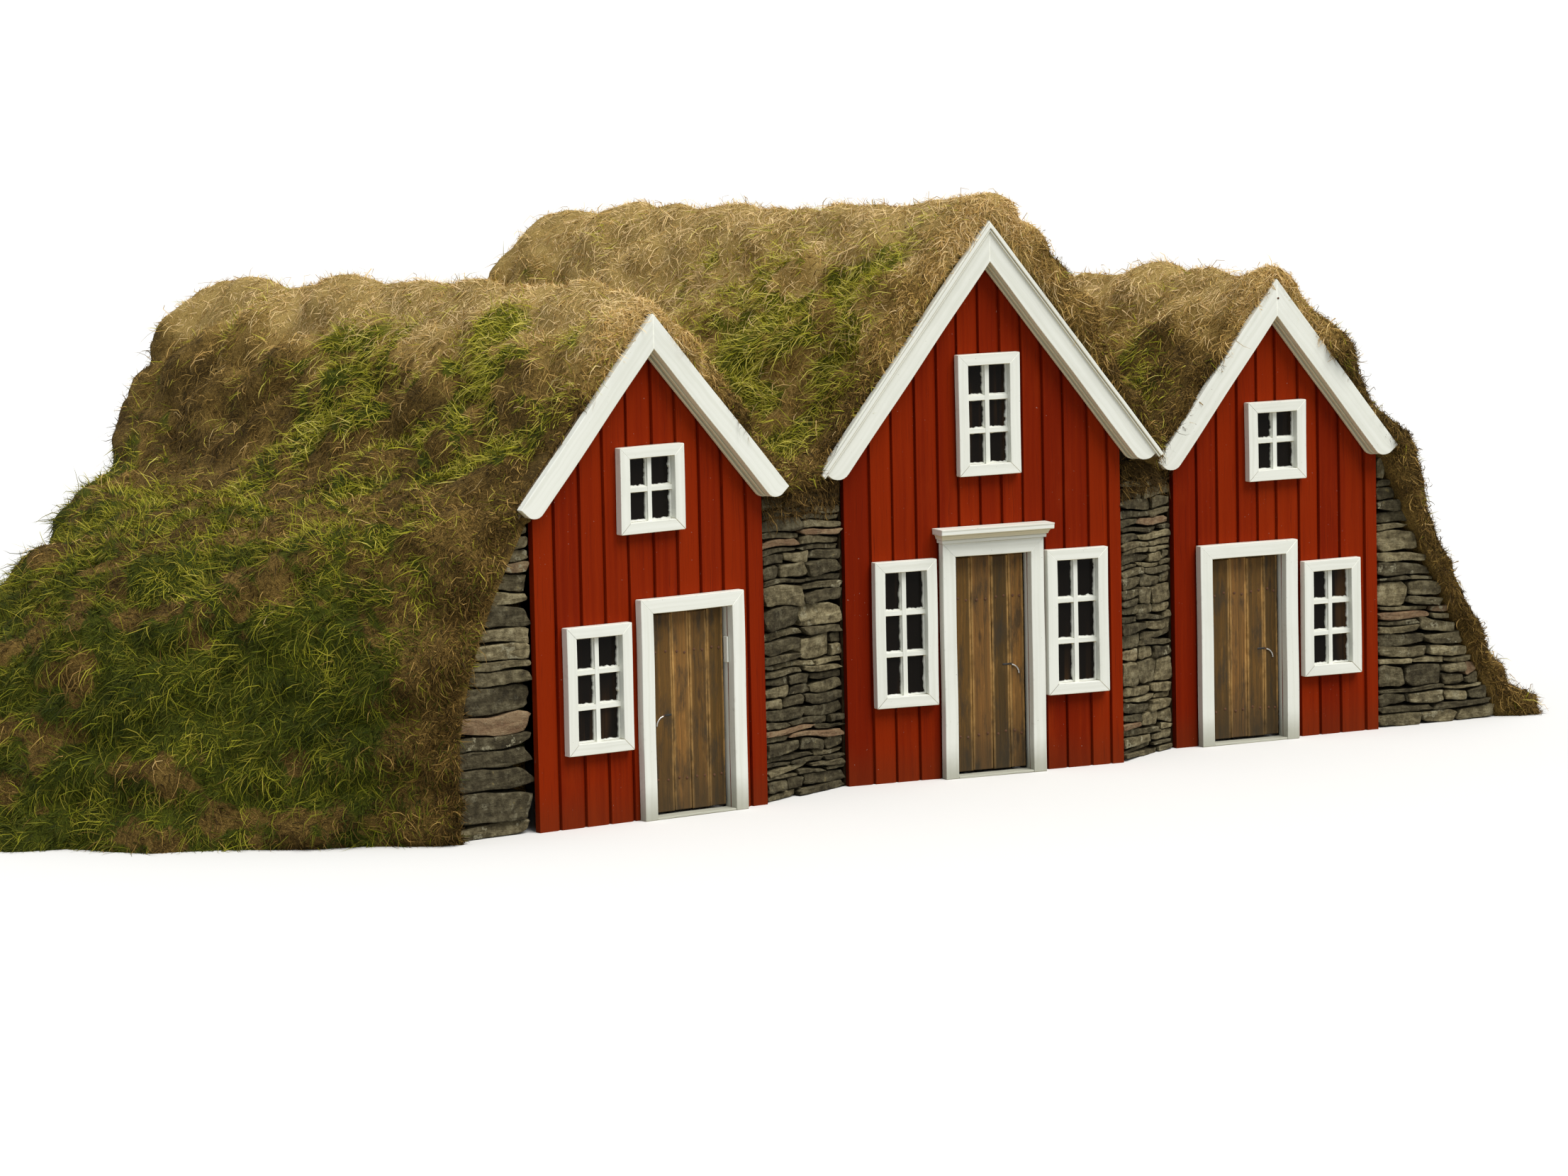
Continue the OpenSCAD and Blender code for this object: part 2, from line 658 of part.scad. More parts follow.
// Doors. Each is drawn with its hinge side at u = 0 and its free side towards positive u
module at_hinge(k) at_front(k)
    translate([door_u[k] + hang[k] * (door_w[k] / 2 - door_gap), 0, 0])
        scale_u(-hang[k]) children();
module scale_u(side) if (side < 0) mirror([1, 0, 0]) children(); else children();
function leaf_w(k) = door_w[k] - 2 * door_gap;
door_back = door_in + door_t;
// The hinge pins stand behind the boards, clear of their backs
pin_y = max(board_t, door_back) + eye_d / 2 + strap_t / 2;
ledge_clear = 6;
function ledge_z(k, share) = door_h[k] * share;

module door(k) color("peru") at_hinge(k) {
    translate([0, door_in, door_foot])
        cube([leaf_w(k), door_t, door_h[k] - door_gap - door_foot]);
    for (share = [ledge_low, ledge_high])
        translate([ledge_clear + eye_d, door_back, ledge_z(k, share) - ledge_w / 2])
            cube([leaf_w(k) - 2 * ledge_clear - eye_d, ledge_t, ledge_w]);
}

module door_iron(k) color("silver") at_hinge(k) {
    for (share = [ledge_low, ledge_high]) translate([0, 0, ledge_z(k, share)]) strap();
    // Latch hook: a bent nail on the face of the door
    translate([leaf_w(k) - latch_edge, door_in - latch_d / 2, door_h[k] * latch_high - latch_r])
        rotate([90, 0, 0]) rotate_extrude(angle = 80)
            translate([latch_r, 0]) circle(d = latch_d);
}

// Strap over the ledge, cranked forward of the pin, with an eye round the pin
module strap() {
    strap_y = door_back + ledge_t;
    difference() {
        union() {
            translate([0, pin_y, 0]) cylinder(d = eye_d, h = eye_h);
            translate([0, pin_y, 0]) cube([eye_d, strap_y + strap_t - pin_y, eye_h]);
            translate([0, strap_y, 0]) cube([strap_l, strap_t, eye_h]);
        }
        translate([0, pin_y, -1]) cylinder(d = pin_d + 2 * pin_gap, h = eye_h + 2);
    }
}

// Hinge pins: each stands on a foot that a plate holds to the back of the boards
foot_gap = 0.3;
foot_h = 10;
plate_h = 36;
module hinge_pin(k, share) at_hinge(k) translate([0, 0, ledge_z(k, share)]) {
    translate([0, pin_y, -foot_gap - foot_h]) cylinder(d = eye_d, h = foot_h);
    translate([0, pin_y, -foot_gap - foot_h / 2])
        cylinder(d = pin_d, h = eye_h + foot_gap + foot_h / 2);
    translate([-door_gap - plate_l, board_t, -foot_gap - foot_h])
        cube([plate_l, pin_y - board_t + strap_t, foot_h]);
    translate([-door_gap - plate_l, board_t, -foot_gap - plate_h])
        cube([plate_l, strap_t, plate_h]);
    translate([-door_gap - plate_l / 2, pin_y - strap_t, -foot_gap - foot_h])
        cube([door_gap + plate_l / 2, 2 * strap_t, foot_h]);
}
module hinge_pins() color("dimgray")
    for (k = HOUSES, share = [ledge_low, ledge_high]) hinge_pin(k, share);

flank(-1);  // left_flank
flank(1);  // right_flank
dividing_wall(LEFT);  // left_dividing_wall
dividing_wall(MIDDLE);  // right_dividing_wall
back_wall();
end_stone_face(-1);  // left_stone_face
between_stone_face(LEFT);  // left_middle_stone_face
between_stone_face(MIDDLE);  // right_middle_stone_face
end_stone_face(1);  // right_stone_face
roof_boards(LEFT);  // left_roof_boards
roof_boards(MIDDLE);  // middle_roof_boards
roof_boards(RIGHT);  // right_roof_boards
roof_turf(LEFT);  // left_roof_turf
roof_turf(MIDDLE);  // middle_roof_turf
roof_turf(RIGHT);  // right_roof_turf
front_beside(LEFT, -1);  // left_front_beside_left
front_beside(LEFT, 1);  // left_front_beside_right
front_over(LEFT);  // left_front_over
front_beside(MIDDLE, -1);  // middle_front_beside_left
front_beside(MIDDLE, 1);  // middle_front_beside_right
front_over(MIDDLE);  // middle_front_over
front_beside(RIGHT, -1);  // right_front_beside_left
front_beside(RIGHT, 1);  // right_front_beside_right
front_over(RIGHT);  // right_front_over
door_casing(LEFT);  // left_door_casing
door_casing(MIDDLE);  // middle_door_casing
door_casing(RIGHT);  // right_door_casing
middle_door_cornice();
window_frames(LEFT);  // left_window_frames
window_frames(MIDDLE);  // middle_window_frames
window_frames(RIGHT);  // right_window_frames
glass(LEFT);  // left_glass
glass(MIDDLE);  // middle_glass
glass(RIGHT);  // right_glass
barge_boards(LEFT);  // left_barge_boards
barge_boards(MIDDLE);  // middle_barge_boards
barge_boards(RIGHT);  // right_barge_boards
middle_barge_cap();
door(LEFT);  // left_door
door(MIDDLE);  // middle_door
door(RIGHT);  // right_door
door_iron(LEFT);  // left_door_iron
door_iron(MIDDLE);  // middle_door_iron
door_iron(RIGHT);  // right_door_iron
hinge_pins();
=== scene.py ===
# Miniature turf house: boarded gable fronts, dry stone between them, turf over roofs and walls.
# Metres. The origin is on the ground under the middle front, X along the row, Y back, Z up.
import math

import bpy
import numpy as np
from mathutils import Matrix


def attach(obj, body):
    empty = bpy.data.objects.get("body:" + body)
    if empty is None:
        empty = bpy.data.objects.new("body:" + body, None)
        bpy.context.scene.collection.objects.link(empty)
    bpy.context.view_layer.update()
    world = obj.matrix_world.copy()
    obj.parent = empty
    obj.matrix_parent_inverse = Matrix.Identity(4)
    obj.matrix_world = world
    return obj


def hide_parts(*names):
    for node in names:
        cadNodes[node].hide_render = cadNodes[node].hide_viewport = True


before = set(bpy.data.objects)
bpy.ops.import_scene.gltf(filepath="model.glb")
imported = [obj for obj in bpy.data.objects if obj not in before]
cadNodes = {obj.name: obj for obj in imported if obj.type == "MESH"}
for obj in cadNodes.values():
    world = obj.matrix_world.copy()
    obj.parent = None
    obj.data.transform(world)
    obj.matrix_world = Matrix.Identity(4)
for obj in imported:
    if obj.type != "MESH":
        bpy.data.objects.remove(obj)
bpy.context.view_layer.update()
print("frame loaded:", len(cadNodes), "nodes")

# sizes shared by the pieces, as they are in the construction
# door = middle, width, height; a window = middle, sill, width, height, panes across, panes up
houses = {
    "left": dict(x=-1.065, y=-0.040, turn=1.0, width=0.684, shift=0.005, apex=1.273, pitch=49.0,
                 span=0.400, bargeWidth=0.058, door=(0.115, 0.238, 0.521), hang=1,
                 windows=[(-0.164, 0.214, 0.135, 0.263, 2, 3), (0.005, 0.754, 0.134, 0.159, 2, 2)],
                 joints=(-0.273, -0.197, -0.126, -0.053, 0.023, 0.094, 0.162, 0.230, 0.302),
                 planks=(0.072, 0.124, 0.178), plankTones=(0.38, 0.86, 0.46, 0.30),
                 turfTop=1.344, ridgeRound=0.040, ridgeLift=-0.046, cover=0.080, backRidge=0.660),
    "middle": dict(x=0.0, y=0.0, turn=-10.0, width=0.792, shift=-0.007, apex=1.447, pitch=52.0,
                   span=0.484, bargeWidth=0.066, door=(0.007, 0.216, 0.579), hang=-1,
                   windows=[(-0.242, 0.227, 0.118, 0.323, 2, 3), (0.251, 0.227, 0.118, 0.323, 2, 3),
                            (0.005, 0.815, 0.118, 0.257, 2, 3)],
                   joints=(-0.328, -0.264, -0.197, -0.133, -0.074, -0.012, 0.049, 0.110, 0.169, 0.228,
                           0.299, 0.356),
                   planks=(-0.043, 0.015, 0.065), plankTones=(0.34, 0.62, 0.14, 0.80),
                   turfTop=1.483, ridgeRound=0.060, ridgeLift=0.022, cover=0.092, backRidge=0.500),
    "right": dict(x=0.935, y=0.005, turn=-7.5, width=0.628, shift=0.017, apex=1.242, pitch=51.5,
                  span=0.371, bargeWidth=0.062, door=(-0.081, 0.225, 0.502), hang=-1,
                  windows=[(0.178, 0.193, 0.119, 0.254, 2, 3), (0.012, 0.730, 0.120, 0.154, 2, 2)],
                  joints=(-0.223, -0.160, -0.097, -0.036, 0.022, 0.092, 0.153, 0.218, 0.296),
                  planks=(-0.123, -0.071, -0.0185), plankTones=(0.28, 0.74, 0.40, 0.16),
                  turfTop=1.257, ridgeRound=0.040, ridgeLift=0.0, cover=0.060, backRidge=0.660),
}
timber = {"board": 0.022, "lath": 0.029, "lathThick": 0.024, "pane": 0.003, "casing": 0.037,
          "casingThick": 0.026, "barge": 0.022, "verge": 0.028, "deck": 0.018, "bargeUp": 0.006,
          "deckIn": 0.006, "doorFace": 0.010, "doorThick": 0.020, "doorGap": 0.0065, "doorFoot": 0.012,
          "ledges": (0.18, 0.80), "ledgeWidth": 0.045, "ledgeThick": 0.012, "latchHigh": 0.49,
          "latchRadius": 0.024, "latchEdge": 0.042, "sill": 0.006}


def deckTop(house, u):
    # top of the roof boards at u along the front
    return house["apex"] - timber["bargeUp"] - house["tan"] * np.abs(u)


for house in houses.values():
    pitch, turn = math.radians(house["pitch"]), math.radians(house["turn"])
    house.update(tan=math.tan(pitch), sinPitch=math.sin(pitch), cosPitch=math.cos(pitch),
                 sinTurn=math.sin(turn), cosTurn=math.cos(turn), deckSpan=house["span"] - timber["deckIn"])
    house["drop"] = timber["deck"] / house["cosPitch"]
    house["edge"] = float(deckTop(house, house["deckSpan"]))
    house["under"] = house["edge"] - house["drop"]
leftHouse, middleHouse, rightHouse = houses.values()


def frontEdge(house, side):
    return side * house["width"] / 2 + house["shift"]


def onFront(house, u, depth, z):
    # place of the house + u along its front + depth into the house, both turned with the front
    u, depth, z = np.broadcast_arrays(u, depth, z)
    return np.stack([house["x"] + u * house["cosTurn"] - depth * house["sinTurn"],
                     house["y"] + u * house["sinTurn"] + depth * house["cosTurn"], z], -1)


def waves(points, size, seed, count=9):
    # mean of sine waves of about one length in random directions: a smooth field from -1 to 1
    rng = np.random.default_rng(seed)
    ways = rng.normal(size=(count, 3))
    ways = unit(ways) * 2 * np.pi / size * rng.uniform(0.6, 1.6, (count, 1))
    return np.sin(points @ ways.T + rng.uniform(0, 6.28, count)).mean(-1) * 1.8


def smoothStep(low, high, value):
    share = np.clip((value - low) / (high - low), 0, 1)
    return share * share * (3 - 2 * share)


def bell(value, size):
    # e to the power of minus (value / size) squared
    return np.exp(-(value / size) ** 2)


def unit(vectors):
    return vectors / np.maximum(np.linalg.norm(vectors, axis=-1, keepdims=True), 1e-9)


# putting arrays into meshes
def linked(name, data):
    item = bpy.data.objects.new(name, data)
    bpy.context.scene.collection.objects.link(item)
    return item


def newPiece(name, shape, materials, node=None, body="house", slots=None, values=None, uv=None,
             normals=None, sharp=None):
    # shape is points and then arrays of faces with the same number of corners; slots their material numbers
    points, faceLists = shape[0], [np.asarray(f, np.int32) for f in shape[1:]]
    mesh = bpy.data.meshes.new(name)
    mesh.vertices.add(len(points))
    mesh.vertices.foreach_set("co", np.asarray(points, np.float32).ravel())
    loops = np.concatenate([f.ravel() for f in faceLists])
    sizes = np.concatenate([np.full(len(f), f.shape[1], np.int32) for f in faceLists])
    mesh.loops.add(len(loops))
    mesh.loops.foreach_set("vertex_index", loops)
    mesh.polygons.add(len(sizes))
    mesh.polygons.foreach_set("loop_start", np.concatenate([[0], np.cumsum(sizes)[:-1]]).astype(np.int32))
    mesh.polygons.foreach_set("loop_total", sizes)
    for material in materials:
        mesh.materials.append(material)
    if slots is not None:
        mesh.polygons.foreach_set("material_index", slots.astype(np.int32))
    mesh.polygons.foreach_set("use_smooth", np.ones(len(sizes), bool))
    mesh.update(calc_edges=True)
    for label, data in (values or {}).items():
        # one number a point, or a colour
        data = np.asarray(data, np.float32)
        if data.ndim == 2:
            data = np.hstack([data, np.ones((len(points), 1), np.float32)])
            mesh.attributes.new(label, "FLOAT_COLOR", "POINT").data.foreach_set("color", data.ravel())
        else:
            data = np.full(len(points), data, np.float32)
            mesh.attributes.new(label, "FLOAT", "POINT").data.foreach_set("value", data)
    if uv is not None:
        mesh.uv_layers.new(name="grain").data.foreach_set("uv", np.asarray(uv, np.float32)[loops].ravel())
    if sharp is not None:
        mesh.set_sharp_from_angle(angle=math.radians(sharp))
    if normals is not None:
        mesh.normals_split_custom_set_from_vertices(normals)
    piece = linked(name, mesh)
    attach(piece, body)
    if node:
        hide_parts(node)


def gridQuads(rows, columns, aroundRows, aroundColumns, count=1):
    # four corners of every cell of count grids, which may close on themselves either way
    i, j = np.arange(rows - (not aroundRows))[:, None], np.arange(columns - (not aroundColumns))
    below, after = (i + 1) % rows * columns, (j + 1) % columns
    quads = np.stack([i * columns + j, i * columns + after, below + after, below + j], -1).reshape(-1, 4)
    return (quads + (np.arange(count) * rows * columns)[:, None, None]).reshape(-1, 4)


def tubeFaces(rows, columns, count=1):
    # sides of count tubes of rows rings, and the two caps of each
    ring = np.arange(columns)
    caps = np.stack([ring[::-1], (rows - 1) * columns + ring])
    caps = (caps + (np.arange(count) * rows * columns)[:, None, None]).reshape(-1, columns)
    return gridQuads(rows, columns, False, True, count), caps


def joined(parts):
    # several shapes in one, with the numbers in their faces moved on
    starts = np.cumsum([0] + [len(part["points"]) for part in parts])
    whole = {key: np.concatenate([part[key] for part in parts]) for key in parts[0]}
    for key in ("quads", "caps"):
        whole[key] = np.concatenate([part[key] + start for part, start in zip(parts, starts)])
    return whole


def paintNode(name, material):
    used = cadNodes[name].data.materials
    used.clear()
    used.append(material)


# material helpers; all of them add to the tree that was started last
sheet = {}


def addNode(kind, settings=None, **inputs):
    node = sheet["tree"].nodes.new("ShaderNode" + kind)
    for key, value in (settings or {}).items():
        setattr(node, key, value)
    for key, value in inputs.items():
        fill(node.inputs[int(key[1:]) if key[1:].isdigit() else key.replace("_", " ")], value)
    return node


def fill(socket, value):
    if isinstance(value, bpy.types.NodeSocket):
        sheet["tree"].links.new(value, socket)
    else:
        socket.default_value = value


def rgb(colour):
    return (*colour, 1.0)


def mixColours(share, first, second, blend="MIX"):
    settings = {"data_type": "RGBA", "blend_type": blend}
    return addNode("Mix", settings, i0=share, i6=first, i7=second).outputs[2]


def tint(colour, share, shade):
    return mixColours(share, colour, rgb(shade))


def calc(operation, first, second):
    return addNode("Math", {"operation": operation}, i0=first, i1=second).outputs[0]


def times(first, second):
    return calc("MULTIPLY", first, second)


def plus(first, second):
    return calc("ADD", first, second)


def spread(value, low, high, toLow=0.0, toHigh=1.0):
    return addNode("MapRange", {"interpolation_type": "SMOOTHSTEP"}, Value=value, From_Min=low,
                   From_Max=high, To_Min=toLow, To_Max=toHigh).outputs[0]


def noise(vector, scale, detail=4.0, roughness=0.6, distortion=0.0):
    return addNode("TexNoise", Vector=vector, Scale=scale, Detail=detail, Roughness=roughness,
                   Distortion=distortion).outputs[0]


def ramp(share, stops):
    node = addNode("ValToRGB", Fac=share)
    elements = node.color_ramp.elements
    while len(elements) < len(stops):
        elements.new(0.5)
    for element, (place, colour) in zip(elements, stops):
        element.position, element.color = place, rgb(colour)
    return node.outputs[0]


def scaled(vector, x, y, z):
    return addNode("Mapping", Vector=vector, Scale=(x, y, z)).outputs[0]


def split(vector):
    return addNode("SeparateXYZ", Vector=vector).outputs


def attribute(name, output="Fac"):
    return addNode("Attribute", {"attribute_name": name}).outputs[output]


def dimmed(colour, light):
    # the colour times one number
    grey = addNode("CombineColor", Red=light, Green=light, Blue=light).outputs[0]
    return mixColours(1.0, colour, grey, "MULTIPLY")


def newGroup(name, inputs, outputs):
    tree = sheet["tree"] = bpy.data.node_groups.new(name, "ShaderNodeTree")
    tree.interface.new_socket("Vector", in_out="INPUT", socket_type="NodeSocketVector")
    for label, value in inputs.items():
        tree.interface.new_socket(label, in_out="INPUT", socket_type="NodeSocketFloat").default_value = value
    for label in outputs:
        tree.interface.new_socket(label, in_out="OUTPUT", socket_type="NodeSocketFloat")
    return tree, tree.nodes.new("NodeGroupInput").outputs, tree.nodes.new("NodeGroupOutput").inputs


def useGroup(group, **inputs):
    node = sheet["tree"].nodes.new("ShaderNodeGroup")
    node.node_tree = group
    for key, value in inputs.items():
        fill(node.inputs[key], value)
    return node.outputs


def newMaterial(name, **shader):
    sheet["material"] = bpy.data.materials.new(name)
    sheet["material"].use_nodes = True
    sheet["tree"] = sheet["material"].node_tree
    sheet["surface"] = sheet["tree"].nodes["Principled BSDF"].inputs
    for key, value in shader.items():
        sheet["surface"][key.replace("_", " ")].default_value = value
    return addNode("TexCoord").outputs["Object"]


def finishMaterial(colour, rough=None, height=None, distance=0.0, strength=1.0):
    fill(sheet["surface"]["Base Color"], colour)
    if rough is not None:
        fill(sheet["surface"]["Roughness"], rough)
    if height is not None:
        bump = addNode("Bump", Strength=strength, Distance=distance, Height=height)
        fill(sheet["surface"]["Normal"], bump.outputs[0])
    return sheet["material"]


# spots where a noise passes 1 - Amount, for specks, chips, lichen and patches
spotsGroup, given, wanted = newGroup("spots", {"Scale": 50.0, "Amount": 0.3, "Softness": 0.05}, ["Mask"])
level = calc("SUBTRACT", 0.78, times(given["Amount"], 0.56))
field = noise(given["Vector"], given["Scale"], 3.0, 0.55)
fill(wanted["Mask"], spread(field, level, plus(level, given["Softness"])))

# grain lines along U of the grain map, with a slow wander across them
sizes = {"Lines": 260.0, "Along": 5.0, "Shift": 0.0}
grainGroup, given, wanted = newGroup("grain", sizes, ["Lines", "Bands"])
along, across, _ = split(given["Vector"])
across = times(plus(across, times(noise(given["Vector"], 9.0, 2.0), 0.012)), given["Lines"])
stretched = addNode("CombineXYZ", X=times(along, given["Along"]), Y=across, Z=given["Shift"]).outputs[0]
fill(wanted["Lines"], noise(stretched, 1.0, 3.0, 0.65))
fill(wanted["Bands"], noise(stretched, 0.22, 2.0, 0.5))

# splash and green growth that thin out with the height above the ground
splashGroup, given, wanted = newGroup("splash", {"Height": 0.12}, ["Mask"])
ragged = plus(times(noise(given["Vector"], 14.0, 5.0), 0.9), 0.55)
fill(wanted["Mask"], spread(split(given["Vector"])[2], 0.0, times(given["Height"], ragged), 1.0, 0.0))


def spots(vector, scale, amount, softness=0.05):
    return useGroup(spotsGroup, Vector=vector, Scale=scale, Amount=amount, Softness=softness)["Mask"]


def grain(lines, along, shift=0.0):
    found = useGroup(grainGroup, Vector=grainMap(), Lines=lines, Along=along, Shift=shift)
    return found["Lines"], found["Bands"]


def grainMap():
    return addNode("UVMap", {"uv_map": "grain"}).outputs[0]


def splash(vector, height, share):
    return times(useGroup(splashGroup, Vector=vector, Height=height)["Mask"], share)


def whitePaintMaterial(name, white, shade):
    # under: the beige of faces that look down, a painted shade with warm reflected light
    sizes = {"wood": (0.30, 0.26, 0.20), "dirt": (0.20, 0.19, 0.10), "speck": (0.16, 0.13, 0.09),
             "under": (0.80, 0.70, 0.45), "specks": 0.08, "splash": 0.10}
    where = newMaterial(name, Roughness=0.55, Specular_IOR_Level=0.3)
    lines, bands = grain(420.0, 7.0)
    colour = mixColours(spread(bands, 0.35, 0.75), rgb(white), rgb(shade))
    colour = tint(colour, spread(noise(where, 6.0), 0.45, 0.75, 0.0, 0.3), [0.9 * c for c in shade])
    bare = times(times(attribute("edge"), spots(where, 60.0, 0.3)), 0.12)
    colour = tint(colour, bare, sizes["wood"])
    # faces that look down turn beige: painted shade with warm reflected light
    facing = split(addNode("NewGeometry").outputs["Normal"])[2]
    colour = tint(colour, spread(facing, -0.05, -0.5, 0.0, 0.9), sizes["under"])
    colour = tint(colour, times(spots(where, 210.0, sizes["specks"], 0.02), 0.75), sizes["speck"])
    colour = tint(colour, splash(where, sizes["splash"], 0.55), sizes["dirt"])
    height = calc("SUBTRACT", lines, times(bare, 0.8))
    return finishMaterial(colour, spread(lines, 0.2, 0.8, 0.38, 0.62), height, 0.0003)


def redPaintMaterial():
    sizes = {"red": (0.250, 0.0200, 0.0013), "deep": (0.175, 0.0110, 0.0010), "faded": (0.270, 0.027, 0.003),
             "line": (0.06, 0.006, 0.003), "speck": (0.45, 0.30, 0.24), "dirt": (0.09, 0.03, 0.010),
             "specks": 0.08, "splash": 0.13}
    where = newMaterial("redPaint", Roughness=0.8, Specular_IOR_Level=0.04)
    lines, bands = grain(330.0, 6.0)
    share = plus(times(bands, 0.6), times(attribute("tone"), 0.4))
    colour = mixColours(spread(share, 0.25, 0.75), rgb(sizes["deep"]), rgb(sizes["red"]))
    faded = noise(scaled(where, 9.0, 9.0, 2.5), 1.0, 5.0)
    colour = tint(colour, spread(faded, 0.5, 0.8, 0.0, 0.7), sizes["faded"])
    colour = tint(colour, spread(lines, 0.25, 0.45, 0.55, 0.0), sizes["line"])
    colour = tint(colour, times(spots(where, 150.0, sizes["specks"], 0.02), 0.7), sizes["speck"])
    colour = tint(colour, splash(where, sizes["splash"], 0.3), sizes["dirt"])
    return finishMaterial(colour, spread(lines, 0.2, 0.8, 0.52, 0.72), lines, 0.0006)


def doorWoodMaterial():
    sizes = {"planks": [(0.0, (0.050, 0.030, 0.009)), (0.33, (0.100, 0.054, 0.012)),
                        (0.66, (0.150, 0.076, 0.021)), (1.0, (0.225, 0.116, 0.029))],
             "light": (1.5, 1.36, 1.2), "worn": (1.9, 1.9, 1.9), "line": (0.030, 0.019, 0.009),
             "knot": (0.035, 0.020, 0.009), "edgeHighlight": (0.42, 0.24, 0.075), "stain": (0.042, 0.031, 0.017),
             "dirt": (0.040, 0.030, 0.016), "splash": 0.2}
    where = newMaterial("doorWood", Roughness=0.6, Specular_IOR_Level=0.22)
    tone = attribute("tone")
    lines, bands = grain(520.0, 5.0, times(tone, 40.0))
    colour = ramp(tone, sizes["planks"])
    light = mixColours(1.0, colour, rgb(sizes["light"]), "MULTIPLY")
    colour = mixColours(spread(bands, 0.35, 0.7), colour, light)
    colour = tint(colour, spread(lines, 0.28, 0.5, 0.75, 0.0), sizes["line"])
    # knots: rings where a slow noise along the plank closes
    knots = addNode("TexVoronoi", {"feature": "F1"}, Vector=scaled(grainMap(), 4.2, 17.0, 1.0), Scale=1.0,
                    Randomness=1.0).outputs["Distance"]
    colour = tint(colour, spread(knots, 0.045, 0.13, 0.85, 0.0), sizes["knot"])
    patches = spread(noise(where, 30.0), 0.3, 0.6, 0.35, 0.95)
    # lighter ochre in patches on the plank edges: a painted highlight along the joints
    colour = tint(colour, times(attribute("edge"), patches), sizes["edgeHighlight"])
    worn = spread(noise(scaled(where, 42.0, 42.0, 9.0), 1.0, 5.0, 0.7), 0.52, 0.70, 0.0, 0.55)
    colour = mixColours(worn, colour, mixColours(1.0, colour, rgb(sizes["worn"]), "MULTIPLY"))
    stain = noise(scaled(where, 30.0, 30.0, 7.0), 1.0, 6.0, 0.68)
    colour = tint(colour, spread(stain, 0.46, 0.66, 0.0, 0.8), sizes["stain"])
    colour = tint(colour, splash(where, sizes["splash"], 0.65), sizes["dirt"])
    return finishMaterial(colour, spread(lines, 0.2, 0.8, 0.42, 0.7), lines, 0.0011)


def roofWoodMaterial():
    sizes = {"boards": [(0.25, (0.085, 0.060, 0.036)), (0.55, (0.20, 0.145, 0.085)),
                        (0.8, (0.30, 0.225, 0.14))],
             "gap": (0.03, 0.02, 0.012)}
    where = newMaterial("roofWood", Roughness=0.8)
    lines = noise(scaled(where, 240.0, 8.0, 240.0), 1.0, 3.0, 0.65)
    boards = addNode("TexWave", {"wave_type": "BANDS", "bands_direction": "Y", "wave_profile": "SAW"},
                     Vector=where, Scale=2.6, Distortion=0.0).outputs[1]
    colour = tint(ramp(lines, sizes["boards"]), spread(boards, 0.0, 0.06, 0.8, 0.0), sizes["gap"])
    return finishMaterial(colour, None, lines, 0.0008)


def glassMaterial():
    # old panes: their near-black colour is painted shade for the unlit room behind them, with faint brown
    # folds painted on them
    sizes = {"roomShade": (0.0060, 0.0045, 0.0035), "fold": (0.045, 0.022, 0.008), "dust": (0.30, 0.29, 0.26)}
    where = newMaterial("darkGlass", Roughness=0.07, IOR=1.32, Specular_IOR_Level=0.3)
    folds = spread(noise(scaled(where, 62.0, 62.0, 2.0), 1.0, 2.0, 0.4), 0.45, 0.7)
    patch = spread(noise(scaled(where, 7.0, 7.0, 2.5), 1.0, 1.0), 0.42, 0.62)
    colour = mixColours(times(folds, patch), rgb(sizes["roomShade"]), rgb(sizes["fold"]))
    colour = tint(colour, times(spots(where, 300.0, 0.03, 0.02), 0.5), sizes["dust"])
    rough = spread(noise(where, 25.0), 0.35, 0.7, 0.04, 0.16)
    return finishMaterial(colour, rough, noise(where, 11.0, 1.0), 0.0012, 0.35)


def wallStoneMaterial():
    # layers and grit; each stone's own tone moves the pattern, and darkens and warms the stone; tones
    # lowered by a shade power carry painted shade
    sizes = {"stops": [(0.34, (0.036, 0.028, 0.014)), (0.47, (0.110, 0.089, 0.046)),
                       (0.56, (0.205, 0.172, 0.095)), (0.68, (0.34, 0.30, 0.185))],
             "warm": (0.17, 0.090, 0.050), "lichen": (0.36, 0.33, 0.215), "yellow": (0.22, 0.17, 0.06),
             "pit": (0.022, 0.019, 0.015)}
    where = newMaterial("wallStone", Roughness=0.85, Specular_IOR_Level=0.2)
    tone = attribute("tone")
    moved = addNode("CombineXYZ", X=times(tone, 37.0), Y=tone, Z=times(tone, 19.0)).outputs[0]
    own = addNode("VectorMath", {"operation": "ADD"}, i0=where, i1=moved).outputs[0]
    layers = noise(scaled(own, 9.0, 9.0, 55.0), 1.0, 6.0, 0.62, 0.4)
    coarse, fine = noise(own, 48.0, 6.0, 0.7), noise(own, 160.0, 4.0, 0.7)
    colour = ramp(plus(times(layers, 0.4), times(coarse, 0.6)), sizes["stops"])
    colour = tint(colour, times(spread(tone, 0.93, 0.96), 0.55), sizes["warm"])
    colour = dimmed(colour, spread(tone, 0.0, 1.0, 0.50, 1.50))
    crust = times(spots(own, 34.0, 0.34, 0.03), spread(fine, 0.35, 0.6))
    more = spread(calc("FRACT", times(tone, 7.3), 0.0), 0.35, 1.0, 0.15, 1.0)
    colour = tint(colour, times(crust, more), sizes["lichen"])
    colour = tint(colour, times(spots(own, 48.0, 0.16, 0.03), 0.55), sizes["yellow"])
    colour = tint(colour, spread(fine, 0.28, 0.42, 0.55, 0.0), sizes["pit"])
    height = plus(times(layers, 0.7), plus(times(coarse, 0.8), times(fine, 0.22)))
    return finishMaterial(colour, None, height, 0.010)


